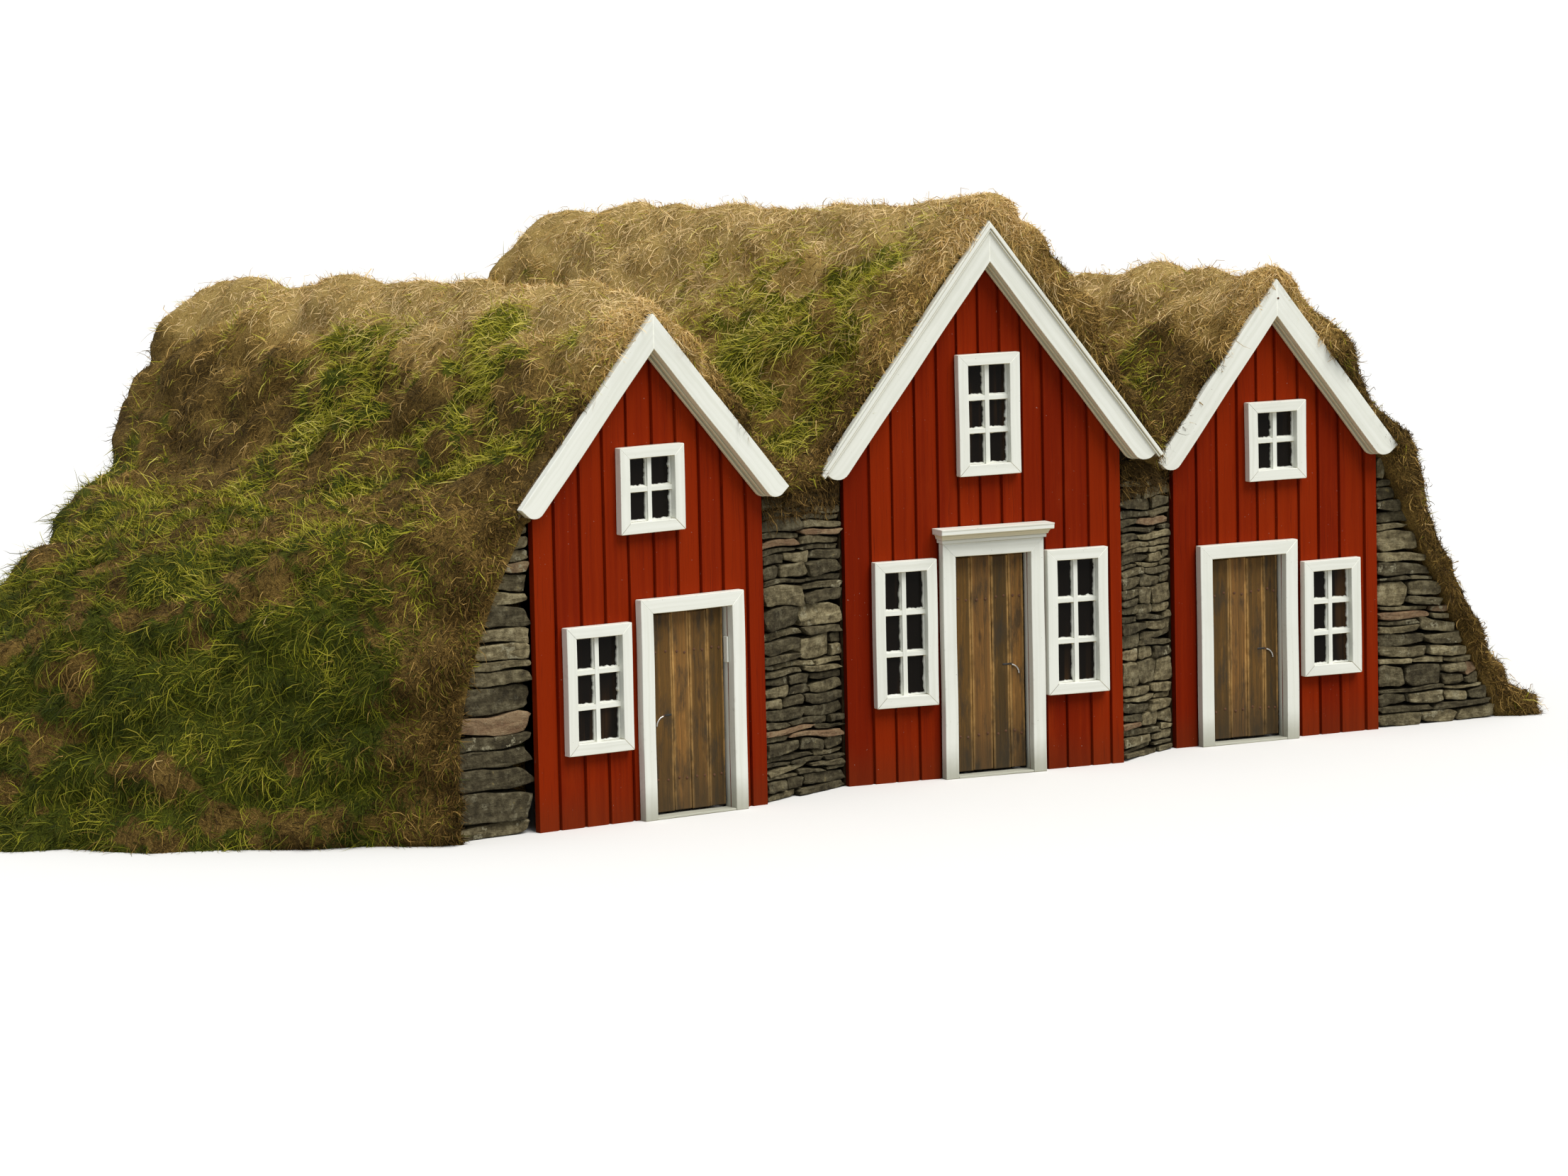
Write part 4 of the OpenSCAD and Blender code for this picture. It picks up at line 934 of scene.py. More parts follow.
neighbours = [(leftHouse, middleHouse), (middleHouse, rightHouse)]
valleys = [{"x": (deckX(first, 1) + deckX(second, -1)) / 2,
            "z": max(first["edge"], second["edge"]) + turf["valleyOver"],
            "under": (first["under"] + second["under"]) / 2} for first, second in neighbours]


def edgeOf(house, side):
    # x and z of a roof's turf where it ends, and the height of its inside there
    end = 0 if side < 0 else 1
    if house is (leftHouse, rightHouse)[end]:
        z = house["edge"] + turf["edgeOver"][end]
        return house["x"] + side * turf["edgeOut"][end], z, z + (house["under"] - z) * turf["seamShare"]
    valley = valleys[0 if house is leftHouse or (house is middleHouse and side < 0) else 1]
    return valley["x"], valley["z"], valley["under"]


def roofColumns(house, side, dx, t):
    # ridge height less a rounded slope, root(dx squared + round squared) - round, eased into the
    # height of the valley or edge by a power of the distance: x, z and inside z
    def rounded(distance):
        return np.sqrt(distance * distance + house["ridgeRound"] ** 2) - house["ridgeRound"]

    inner = house["deckSpan"] * house["cosTurn"]
    slope = (house["turfTop"] - house["edge"] - house["cover"]) / rounded(inner)
    edgeX, edgeZ, under = edgeOf(house, side)
    reach = abs(edgeX - house["x"])
    ease = (dx / reach) ** turf["valleyPower"]
    z = house["turfTop"] + house["ridgeLift"] * np.exp(-t / turf["liftShare"]) - slope * rounded(dx)
    z = z * (1 - ease) + edgeZ * ease
    inside = np.where(dx <= inner, deckTop(house, dx / house["cosTurn"]),
                      np.interp(dx, [inner, reach], [house["under"], under])) + turf["seat"]
    return house["x"] + side * dx, z, inside


def flankColumns(side, r, t):
    # From the roof's edge (r = 0) to the foot (r = 1), which swings out with the sine of the
    # distance behind the front. The height fades with a power of r, or of 1 - r on the right.
    end, house = (0, leftHouse) if side < 0 else (1, rightHouse)
    edgeX, edgeZ, _ = edgeOf(house, side)
    y = turfY(edgeX, t)
    swing = np.sin(np.radians(90 * (y - frontY(house["x"])) / turf["footRun"]))
    foot = house["x"] + side * (turf["foot"][end] + turf["footOut"][end] * swing)
    if side < 0:
        base, more, rate = turf["leftPower"]
        fade = 1 - r ** (base + more * (1 - np.exp(-rate * t)))
    else:
        fade = (1 - r) ** turf["rightPower"]
    return edgeX + (foot - edgeX) * r, (edgeZ - down(y)) * fade + down(y)


def stoneOutline(side):
    # u and z of the end stone face: inner foot, outer foot, outer top, inner top
    end, house = (0, leftHouse) if side < 0 else (1, rightHouse)
    start = frontEdge(house, side) + side * turf["stoneGap"]
    return (start, start + side * turf["stoneFoot"][end], start + side * turf["stoneTop"],
            house["under"] - turf["stoneBelow"])


def swell(z):
    # how far the left flank bulges beside its stones: half a sine wave over its height
    return turf["swell"] * np.sin(np.pi * np.clip(z / turf["swellTop"], 0, 1))


def flankInner(side, r, wall):
    # inside outline of a flank: down the room's side wall, or round the recess of the stone face
    house = leftHouse if side < 0 else rightHouse
    edgeX, _, under = edgeOf(house, side)
    if wall:
        roomU = side * (house["width"] / 2 - turf["wallLap"]) + house["shift"]
        top = float(deckTop(house, roomU)) - house["drop"] - turf["seat"]
        us, zs = [roomU] * 4, [top, top - 0.03, top - 0.06, 0.0]
    else:
        start, foot, topU, high = stoneOutline(side)
        us = [start, start, topU, foot]
        zs = [float(deckTop(house, start)) - house["drop"] - turf["seat"], high, high, 0.0]
    breaks = [0, 0.04, 0.08, 0.11, 0.13, 1.0]
    xs = [edgeX, deckX(house, side)] + [house["x"] + u * house["cosTurn"] for u in us]
    return np.interp(r, breaks, xs), np.interp(r, breaks, [under, house["under"] - turf["seat"], *zs])


def gridNormals(grid):
    return unit(np.cross(np.gradient(grid, axis=1), np.gradient(grid, axis=0)))


def buildTurf():
    # One grid over the whole building: columns from the left foot to the right foot, rows from
    # the recess behind the front edge, over the edge, back along the roofs and down the back wall.
    t = (np.linspace(0, 1, turf["rows"]) ** turf["crowding"])[:, None]
    blocks = []

    def addBlock(name, x, z, front, room):
        blocks.append((x + 0 * t, z + 0 * t, *front, *room, [name] * x.shape[1]))

    def addFlank(name, side, r):
        x, z = flankColumns(side, r[None, :], t)
        addBlock(name, x, z, flankInner(side, r, False), flankInner(side, r, True))

    r = np.linspace(1, 0, turf["flankColumns"])
    addFlank("leftFlank", -1, r[:-1])
    for name, house in houses.items():
        for side in (-1, 1):
            reach = abs(edgeOf(house, side)[0] - house["x"])
            dx = np.linspace(0, reach, int(reach / turf["cell"]) + 1)
            x, z, inside = roofColumns(house, side, (dx[::-1] if side < 0 else dx[1:-1])[None, :], t)
            addBlock(name + "Roof", x, z, (x[0], inside[0]), (x[0], inside[0]))
    # the last roof's right edge is the first column of the right flank
    addFlank("rightFlank", 1, r[::-1])
    gridX, gridZ = [np.concatenate(values, 1) for values in list(zip(*blocks))[:2]]
    frontX, frontZ, wallX, wallZ, names = [np.concatenate(values) for values in list(zip(*blocks))[2:]]
    gridY = turfY(gridX, t)
    outer = np.stack([gridX, gridY, gridZ - down(gridY)], -1)
    # front rows: recess wall, recess edge, then over the rim in four steps
    edgeY = turfY(frontX, 0)
    recess = edgeY + turf["lip"] + turf["stoneIn"] + turf["stoneThick"]
    inner = np.stack([frontX, edgeY, frontZ - down(edgeY)], -1)
    front = [np.stack([x, recess, z - down(recess)], -1) for x, z in ((wallX, wallZ), (frontX, frontZ))]
    front.append(inner)
    rimHeight = np.clip((outer[0, :, 2] - inner[:, 2]) / 0.06, 0.15, 1)
    for share in turf["rim"]:
        step = inner * (1 - share) + outer[0] * share
        step[:, 1] -= turf["rimOut"] * math.sin(math.pi * share) * rimHeight
        front.append(step)
    # back wall: down a quarter turn, height fading with a high power of the depth, which is the
    # valleys' depth + a cosine hump behind each ridge
    backX, top = outer[-1, :, 0], outer[-1, :, 2]
    ends = np.minimum(backX - backX[0], backX[-1] - backX)
    aside = [np.minimum(1, np.abs(backX - house["x"]) / house["span"]) for house in houses.values()]
    humps = [(house["backRidge"] - turf["backValley"]) * np.cos(np.radians(90 * a)).clip(0) ** 1.5
             for house, a in zip(houses.values(), aside)]
    deep = 0.98 * (turf["backValley"] + np.max(humps, 0)) * np.sqrt(np.clip(ends / turf["backValley"], 0, 1))
    q = np.sin(np.radians(np.linspace(0, 90, turf["backRows"])))[1:, None]
    back = np.stack([backX + 0 * q, turf["roomLength"] + deep * q, top * (1 - q ** turf["backPower"])], -1)
    grid = np.concatenate([np.stack(front), outer, back])
    # behind the front the left flank runs on from its roof in one easy slope: every point there
    # moves part of the way to the middle of its neighbours along the row, again and again
    seam = grid[0, np.nonzero(names == "leftRoof")[0][0], 0]
    low, high = turf["easeFrom"]
    share = 0.5 * smoothStep(0.04, 0.30, behindFront(grid)) * smoothStep(0.0, 0.15, grid[..., 2])
    share = (share * smoothStep(seam + low, seam + high, grid[..., 0]))[:, 1:-1, None]
    for _ in range(turf["easeTurns"]):
        grid[:, 1:-1] += ((grid[:, 2:] + grid[:, :-2]) / 2 - grid[:, 1:-1]) * share
    left = names == "leftFlank"
    bulge = swell(grid[..., 2]) * bell(behindFront(grid), turf["swellRun"])
    grid[1:, left, 0] -= bulge[1:, left]
    # sods: broad swells, rounded bumps with creases between them (the size of a wave), fine lumps,
    # all along the normal
    normal = gridNormals(grid)
    normal[np.linalg.norm(normal, axis=-1) < 0.5] = (0, 1, 0)
    sodHeight, sodLength, seed, count = turf["sods"]
    lift = sodHeight * (np.abs(waves(grid, sodLength, seed, count)) * 1.6 - 0.55)
    for height, length, seed, count in (turf["swells"], turf["mid"], turf["fine"]):
        lift += height * waves(grid, length, seed, count)
    fade = np.ones(grid.shape[:2])
    fade[:7] = np.array([0, 0, 0, 0.3, 0.6, 0.85, 1.0])[:, None]
    # no hollows over the outer edges of the roof boards, and less on the ridges
    eaves = sum(bell(grid[..., 0] - edgeOf(*end)[0], 0.07) for end in ((leftHouse, -1), (rightHouse, 1)))
    lift = np.where(lift < 0, lift * (1 - eaves.clip(0, 1)), lift)
    crest = nearRidge(grid, 0.08) * smoothStep(0.9, 1.1, grid[..., 2])
    grid = grid + normal * (lift * fade * (1 - 0.45 * crest))[..., None]
    grid[..., 2] = np.maximum(grid[..., 2], 0)
    grid[:, [0, -1], 2] = 0
    grid[-1, :, 2] = 0
    end = turf["roomLength"] + 0 * wallX
    room = np.stack([wallX, end, np.maximum(wallZ - down(end), 0)], -1)
    return grid, names, len(front), len(front) + len(outer) - 1, room


def nearRidge(points, size):
    return np.max([bell(points[..., 0] - house["x"], size) for house in houses.values()], 0)


def blob(points, x, y, wide, long):
    # a soft round patch seen from above
    return np.exp(-((points[..., 0] - x) / wide) ** 2 - ((points[..., 1] - y) / long) ** 2)


def shadeField(points):
    # the foot of the long left flank, where the grass is deep green and a painted shade darkens it
    return smoothStep(1.0, 0.40, points[..., 2]) * smoothStep(-1.25, -1.75, points[..., 0])


def greenField(points):
    # share of fresh grass: the middle roof's slope behind its front and the valley, patches on the
    # left slope and low on the flanks; the ridges and the rims stay dry
    x, y, z = np.moveaxis(points, -1, 0)
    patches = 0.5 * waves(points, 0.50, 21) + 0.4 * waves(points, 0.15, 22) + 0.28 * waves(points, 0.06, 26)
    patches = np.clip(0.5 + patches, 0, 1)
    leftSlope = smoothStep(0.80, 0.95, z) * smoothStep(-1.12, -1.25, x) * smoothStep(1.7, 0.9, y)
    low = smoothStep(0.85, 0.35, z) * smoothStep(0.10, 0.70, behindFront(points))
    middleSlope = blob(points, -0.36, 0.55, 0.28, 0.42) + 0.8 * blob(points, 0.60, 0.40, 0.12, 0.5)
    firstValley = blob(points, valleys[0]["x"] + 0.03, 0.30, 0.09, 0.22)
    share = 0.50 * smoothStep(0.55, 0.95, patches) + 0.9 * firstValley
    for place, least, most in ((0.95 * shadeField(points), 0.10, 0.50), (0.85 * leftSlope, 0.35, 0.65),
                               (0.9 * low + 0.75 * blob(points, -1.32, 0.48, 0.22, 0.34), 0.25, 0.6),
                               (middleSlope, 0.05, 0.45)):
        share = share + place * smoothStep(least, most, patches)
    ridges = nearRidge(points, 0.11) * smoothStep(0.8, 1.1, z)
    return np.clip(share * (1 - 0.9 * ridges) * (1 - 0.85 * bell(behindFront(points), 0.085)), 0, 1)


def paleAndLightField(points):
    # share of pale straw: bleached straw and painted sunlight along the ridges, pale straw all over the back
    # half of the middle roof; less lower down, on the left slope and at the left flank's foot, which is
    # painted shade, and less on bare soil, at the rims and where the valleys end in front
    x, _, z = np.moveaxis(points, -1, 0)
    share = 0.45 + 0.25 * waves(points, 0.35, 23) + 0.25 * waves(points, 0.10, 24)
    # along the ridges: bleached straw and painted sunlight; lower down: painted shade
    share = share + 0.90 * nearRidge(points, 0.13) * smoothStep(0.9, 1.15, z)
    share = share + 0.40 * blob(points, -0.1, 1.3, 0.45, 0.55) - 0.42 * smoothStep(1.22, 0.85, z)
    soil = smoothStep(0.25, 0.70, waves(points, 0.28, 25, 7) + 0.4 * waves(points, 0.09, 27, 7))
    ends = sum(blob(points, valley["x"], 0.0, 0.11, 0.12) for valley in valleys)
    # the left slope and the left flank's foot: painted shade
    leftSlope = smoothStep(-1.10, -1.25, x) * smoothStep(0.70, 0.85, z) * smoothStep(1.20, 1.08, z)
    share = share - 0.35 * soil * smoothStep(1.25, 1.0, z) - 0.12 * bell(behindFront(points), 0.04)
    return np.clip(share - 0.9 * ends - 0.35 * shadeField(points) - 0.24 * leftSlope, 0, 1)


turfPoints, columnNames, firstOuter, lastOuter, backInside = buildTurf()
turfFields = [turfPoints, gridNormals(turfPoints), greenField(turfPoints), paleAndLightField(turfPoints)]
print("turf worked out")


def bandPiece(name, node, rows, columns, inside):
    # a closed band: its rows run round from the inside over the outside, and its first and last
    # columns are closed by flat faces
    points = np.concatenate([turfPoints[rows, columns], inside[None]])
    values = {key: np.concatenate([field[rows, columns], 0 * field[:1, columns]]).ravel()
              for key, field in zip(("green", "pale"), turfFields[2:])}
    count, across = points.shape[:2]
    first = np.arange(count) * across
    ends = np.stack([first, (first + across - 1)[::-1]])
    newPiece(name, [points.reshape(-1, 3), gridQuads(count, across, True, False), ends], [turfGround], node,
             values=values, sharp=75)


def turfPieces():
    # neighbouring pieces share a column; returns the columns of each
    ranges = {}
    for name, node in (("leftFlank", "left_flank"), ("leftRoof", "left_roof_turf"),
                       ("middleRoof", "middle_roof_turf"), ("rightRoof", "right_roof_turf"),
                       ("rightFlank", "right_flank")):
        found = np.nonzero(columnNames == name)[0]
        ranges[name] = slice(found[0], min(found[-1] + 2, len(columnNames)))
        bandPiece(name + "Turf", node, slice(0, lastOuter + 1), ranges[name], backInside[ranges[name]])
    foot = turfPoints[lastOuter] * (1, 1, 0)
    bandPiece("backWallTurf", "back_wall", slice(lastOuter, None), slice(None), foot)
    return ranges


# grass and straw on the turf; each kind has its number per square metre, length and width
# pairs of ranges are for fresh and for dry blades
grass = {"matted": (19000, (0.014, 0.044), 0.0031), "strands": (2850, (0.026, 0.075), 0.0021), "top": 1.520,
         "sunk": 0.002, "ground": 0.0005, "widths": (0.6, 1.3), "stand": ((0.35, 1.1), (0.03, 0.38)),
         "green": ((0.7, 1.0), (0.0, 0.18)), "bend": ((0.05, 0.30), (0.12, 0.62)), "strandUp": 0.12,
         "strandLight": 0.20, "freshLonger": 1.25, "fall": (0.1, 1.1), "forwards": 0.35}

forwards = np.array([0, -1.0, 0])


def bladeArrays(root, way, normal, length, width, bend, tone, green, rng, strand):
    # A matted blade is one narrow triangle that lies with its flat side outwards. A strand has four
    # stations: root + way * length * s + sideways * bend * sin(180 s) - down * sag * s squared.
    count = len(root)
    side = unit(np.cross(way, normal + rng.normal(size=(count, 3)) * 0.45)) * (width / 2)[:, None]
    along = way * length[:, None]
    if strand:
        s = np.array([0.0, 0.36, 0.70, 1.0])[:, None]
        sideways = unit(side + rng.normal(size=(count, 3)) * width[:, None] * 0.4) * (bend * length)[:, None]
        path = root[:, None] + along[:, None] * s + sideways[:, None] * np.sin(np.pi * s)
        path[:, :, 2] -= (bend * length)[:, None] * 0.8 * s[:, 0] ** 2
        wide = side[:, None] * np.array([1.0, 0.9, 0.6])[:, None]
        pairs = np.stack([path[:, :3] - wide, path[:, :3] + wide], 2).reshape(count, 6, 3)
        points = np.concatenate([pairs, path[:, 3:]], 1)
        corners, place = ((0, 1, 3, 2), (2, 3, 5, 4)), np.repeat(s[:, 0], [2, 2, 2, 1])
    else:
        points = np.stack([root - side, root + side, root + along], 1)
        corners, place = (), np.array([0, 0, 1])
    points[..., 2] = np.maximum(points[..., 2], grass["ground"])
    step = (np.arange(count) * len(place))[:, None]
    quads = np.concatenate([step[:0] + np.arange(4)] + [step + np.array(four) for four in corners])
    colour = np.stack(np.broadcast_arrays(green[:, None], tone[:, None], place), -1)
    return {"points": points.reshape(-1, 3), "quads": quads, "caps": step + len(place) - 3 + np.arange(3),
            "blade": colour.reshape(-1, 3)}


def scatter(fields, weight, perArea, rng):
    # cells are drawn by area times weight, and a root lies at a random place in its cell
    p = fields[0]
    a = np.linalg.norm(np.cross(p[1:, :-1] - p[:-1, :-1], p[:-1, 1:] - p[:-1, :-1]), axis=-1)
    b = np.linalg.norm(np.cross(p[1:, :-1] - p[1:, 1:], p[:-1, 1:] - p[1:, 1:]), axis=-1)
    mass = ((a + b) / 2 * (weight[1:, 1:] + weight[:-1, :-1]) / 2).ravel()
    count = int(mass.sum() * perArea)
    i, j = np.divmod(rng.choice(len(mass), count, p=mass / mass.sum()), p.shape[1] - 1)
    s, v = rng.random(count)[:, None], rng.random(count)[:, None]
    found = []
    for field in fields:
        field = field.reshape(*p.shape[:2], -1)
        near, far = [field[i, column] * (1 - s) + field[i + 1, column] * s for column in (j, j + 1)]
        found.append(near * (1 - v) + far * v)
    root, normal, green, pale = found
    return root, unit(normal), green[:, 0], pale[:, 0]


def lieIn(root, normal, rng):
    # direction along the surface: a slow field of angles, so that straw lies in locks, plus scatter
    first = unit(np.cross(normal, np.array([0.3, 1.0, 0.1])))
    angle = 3.0 * waves(root, 0.16, 41) + rng.normal(0, 1.3, len(root))
    return first * np.cos(angle)[:, None] + np.cross(normal, first) * np.sin(angle)[:, None]


def keepUnder(root, way, length):
    # blades that would stand higher than the top lean over
    over = np.clip((root + way * length[:, None])[:, 2] - grass["top"], 0, None)
    return unit(way - np.array([0, 0, 1.0]) * (over / length)[:, None])


def growGrass(name, rows, columns, rng, share):
    fields = [field[rows, columns] for field in turfFields]
    thinner = 1 - 0.22 * smoothStep(0.7, 1.5, fields[0][..., 1])
    weight = (1 + 0.8 * bell(behindFront(fields[0]), 0.10)) * share * thinner
    sets = []
    for strand in (False, True):
        density, (low, high), wide = grass["strands" if strand else "matted"]
        root, normal, green, pale = scatter(fields, weight, density, rng)
        count = len(root)
        steep = np.sqrt(1 - np.clip(normal[:, 2:], -1, 1) ** 2)
        fall = unit(np.array([0, 0, -1.0]) + normal * normal[:, 2:])
        fresh = rng.random(count) < green

        def either(key):
            return np.where(fresh, *[rng.uniform(*limits, count) for limits in grass[key]])

        stand = (either("stand") + np.where(fresh, 0, grass["strandUp"] * strand))[:, None]
        way = lieIn(root, normal, rng) + fall * steep * rng.uniform(*grass["fall"], count)[:, None]
        way = way + normal * stand
        atRim = bell(behindFront(root), 0.05)
        way = unit(unit(way) + forwards * (atRim * rng.uniform(0, grass["forwards"], count))[:, None])
        length = (low + (high - low) * rng.random(count) ** 1.5) * np.where(fresh, grass["freshLonger"], 1.0)
        length = length * (1 - 0.4 * atRim)
        way = keepUnder(root, way, length)
        width = wide * rng.uniform(*grass["widths"], count)
        locks = 0.20 * waves(root, 0.050, 42) + 0.14 * waves(root, 0.13, 43, 7)
        # pale brings bleached straw and painted sunlight; at the left flank's foot the tone is lowered, a
        # painted shade
        shade = shadeField(root)
        tone = np.where(fresh, (0.30 + 0.25 * pale + 0.50 * rng.random(count)) * (1 - 0.62 * shade),
                        (0.02 + 0.78 * pale + rng.normal(0.09, 0.17, count)) * (1 - 0.3 * shade))
        tone = np.clip(tone + locks + grass["strandLight"] * strand, 0, 1)
        greenness, bend = either("green"), either("bend")
        sets.append(bladeArrays(root - normal * grass["sunk"], way, normal, length, width, bend, tone,
                                greenness, rng, strand))
    bladePiece(name, sets)


def bladePiece(name, sets):
    whole = joined(sets)
    newPiece(name, [whole["points"], whole["quads"], whole["caps"]], [grassBlades],
             values={"blade": whole["blade"]})


# strands or not, with how many hang between two fronts, and how many grow on a square metre of rim
fringe = {"hanging": ((False, 3400), (True, 1100)), "drop": 0.090, "in": 0.004, "up": 0.02,
          "hangLength": (0.010, 0.040), "hangWidth": (0.0014, 0.0030),
          "rim": ((True, 14500), (False, 38000)), "rimRows": 4, "rimLength": (0.010, 0.036),
          "rimWidth": (0.0016, 0.0034), "bend": (0.2, 0.7)}


def hangingRoots():
    # fibres that hang from the turf between two fronts, in front of the wall's top
    rng = np.random.default_rng(77)
    sets, inside = [], fringe["in"]
    for (first, second), valley in zip(neighbours, valleys):
        a = onFront(first, frontEdge(first, 1) + inside, inside, 0)
        b = onFront(second, frontEdge(second, -1) - inside, inside, 0)
        for strand, count in fringe["hanging"]:
            s = rng.uniform(0.02, 0.98, count)
            root = a * (1 - s[:, None]) + b * s[:, None]
            root[:, 1] += rng.uniform(-0.004, 0.05, count)
            root[:, 2] = valley["under"] + fringe["up"] - fringe["drop"] * rng.random(count) ** 1.5
            sideways = rng.normal(0, 0.8, count) * (1 - np.abs(2 * s - 1)) + 0.4 * (0.5 - s)
            out, up = rng.uniform(-0.5, 0.3, count), rng.uniform(-1.1, 0.2, count)
            way = unit(np.stack([sideways, out, up], -1))
            length, width, bend = [rng.uniform(*fringe[key], count)
                                   for key in ("hangLength", "hangWidth", "bend")]
            tone = np.where(rng.random(count) < 0.1, 0.42, rng.uniform(0.0, 0.14, count))
            green = rng.uniform(0, 0.1, count)
            sets.append(bladeArrays(root, way, forwards, length, width, bend, tone, green, rng, strand))
    bladePiece("hangingRoots", sets)


def rimStraw():
    # roots and straw on the cut edge of the turf, hanging over the barge boards' top edges
    rng = np.random.default_rng(78)
    rows = slice(firstOuter - fringe["rimRows"], firstOuter + fringe["rimRows"])
    fields = [field[rows] for field in turfFields]
    sets = []
    for strand, density in fringe["rim"]:
        root, normal, green, pale = scatter(fields, np.ones(fields[0].shape[:2]), density, rng)
        count = len(root)
        # less on the slopes that face right, where it would hide the boards
        way, lean = lieIn(root, normal, rng), rng.uniform(0.0, 0.7, count)
        lean = lean * np.where(normal[:, 0] > 0, 0.3, 1.0)
        way = way + forwards * lean[:, None] + normal * rng.uniform(0.05, 0.35, count)[:, None]
        way = unit(way + np.array([0, 0, -0.2]))
        length = rng.uniform(*fringe["rimLength"], count)
        way = keepUnder(root, way, length)
        # pale brings bleached straw and painted sunlight on the ridges
        tone = np.clip(0.06 + 0.52 * pale + rng.normal(0.08, 0.15, count), 0, 1)
        width, bend = rng.uniform(*fringe["rimWidth"], count), rng.uniform(*fringe["bend"], count)
        green, facing = rng.uniform(0, 0.12, count), unit(normal + forwards * 0.5)
        sets.append(bladeArrays(root - normal * grass["sunk"], way, facing, length, width, bend, tone,
                                green, rng, strand))
    bladePiece("rimStraw", sets)


# dry stone
stones = {"gap": 0.0030, "power": 60.0, "rough": 0.0018, "tilt": 1.9, "around": 32, "skew": (0.11, 0.22),
          "slab": (0.013, 0.023), "block": (0.025, 0.040), "thick": (0.044, 0.070),
          "slabWide": (0.090, 0.220), "blockWide": (0.070, 0.175), "leastWhole": 0.22,
          "leastHigh": 0.010, "end": 0.004, "topHigh": 0.014, "restWide": 0.035, "tall": 0.036,
          "halved": 0.4, "part": (0.35, 0.65),
          "wedge": 0.42, "sag": 0.005, "ripple": 0.0022,
          "leftCourses": (0.037, 0.081, 0.057, 0.048, 0.034, 0.051, 0.072, 0.039, 0.024, 0.042, 0.038,
                          0.055, 0.034, 0.046, 0.030)}


def stoneRows(upper, leftAt, rightAt, rng, slabs, blocks, courses=()):
    # Courses from the ground up, each of slabs, blocks or thick stones. A tall stone may be two thin
    # ones instead. A row holds the middle u and z and the two half sizes.
    rows, z = [], 0.0
    while z < upper - stones["leastHigh"]:
        draw = rng.random()
        kind = "slab" if draw < slabs else "block" if draw < slabs + blocks else "thick"
        high = min(courses[0] if courses else rng.uniform(*stones[kind]), upper - z)
        whole, courses = len(courses) > 0, courses[1:]
        if upper - z - high < stones["topHigh"]:
            high = upper - z
        u, right = leftAt(z + high / 2), rightAt(z + high / 2)
        while u < right - stones["end"]:
            wide = rng.uniform(*stones["slabWide" if kind == "slab" else "blockWide"])
            wide = max(wide, stones["leastWhole"]) if whole else wide
            if right - u - wide < stones["restWide"]:
                wide = right - u
            shares = [1.0]
            if high > stones["tall"] and rng.random() < stones["halved"] and not whole:
                part = rng.uniform(*stones["part"])
                shares = [part, 1 - part]
            low = z
            for share in shares:
                rows.append((u + wide / 2, low + high * share / 2, wide / 2, high * share / 2))
                low += high * share
            u += wide
        z += high
    return np.array(rows)


def stoneBodies(rows, thick, rng):
    # The outline of a stone is the soft minimum of straight cuts: along each angle its radius is
    # (sum of (cos(angle - cut) / distance) ^ p) ^ (-1 / p), scaled by the half sizes. Rings from
    # the middle of the face outwards, over a rounded edge and back, carry that outline.
    count, rough = len(rows), stones["rough"]
    straight, corner = stones["skew"]
    angle = np.linspace(0, 2 * np.pi, stones["around"], endpoint=False)
    cuts = np.concatenate([np.radians([0, 90, 180, 270]) + rng.normal(0, straight, (count, 4)),
                           np.radians([45, 135, 225, 315]) + rng.normal(0, corner, (count, 4))], 1)
    far = np.concatenate([rng.uniform(0.93, 1.0, (count, 4)), rng.uniform(1.08, 1.46, (count, 4))], 1)
    share = np.maximum(np.cos(angle[None, :, None] - cuts[:, None, :]), 0) / far[:, None, :]
    radius = ((share ** stones["power"]).sum(-1) ** (-1 / stones["power"]))[:, None, :]
    halves = np.maximum(rows[:, 2:] - stones["gap"] / 2 * rng.uniform(0.6, 1.8, (count, 2)), 0.003)
    halfU, halfZ = halves.T[..., None, None]
    middleU, middleZ = rows.T[:2, :, None, None]
    ring = np.array([0.02, 0.38, 0.70, 0.91, 0.975, 1.0, 1.0, 0.95])[:, None]
    rounding = np.array([0, 0.0, 0.02, 0.07, 0.17, 0.60, 0, 0])[:, None]
    behind = np.array([0, 0, 0, 0, 0, 0, 1.0, 1.0])[:, None]
    u, z = halfU * ring * radius * np.cos(angle), halfZ * ring * radius * np.sin(angle)
    lean = rng.normal(0, 0.05, (count, 2, 1, 1))
    d = rng.uniform(-0.007, 0.007, count)[:, None, None] - thick / 2
    d = d + np.minimum(halfZ, 0.008) * rounding + lean[:, 0] * u + lean[:, 1] * z
    d = np.where(behind > 0, thick / 2, d)
    spot = np.stack([u + middleU * 7, d, z + middleZ * 11], -1)
    d = d + (1 - behind) * (waves(spot, 0.040, 51) * 1.3 + waves(spot, 0.013, 52) * 0.5) * rough
    grow = ring * (1 - behind) * np.clip(waves(spot, 0.030, 53) * rough, -1, 1) / np.maximum(halfZ, 0.01)
    u, z = u * (1 + grow * 0.4), z * (1 + grow)
    # thin stones are wedges: higher at one end than at the other
    wedge = rng.uniform(-stones["wedge"], stones["wedge"], count)[:, None, None]
    z = z * (1 + wedge * smoothStep(0.034, 0.010, halfZ) * u / halfU)
    tilt = np.radians(rng.normal(0, stones["tilt"], count))[:, None, None]
    return middleU + u * np.cos(tilt) - z * np.sin(tilt), d, middleZ + u * np.sin(tilt) + z * np.cos(tilt)


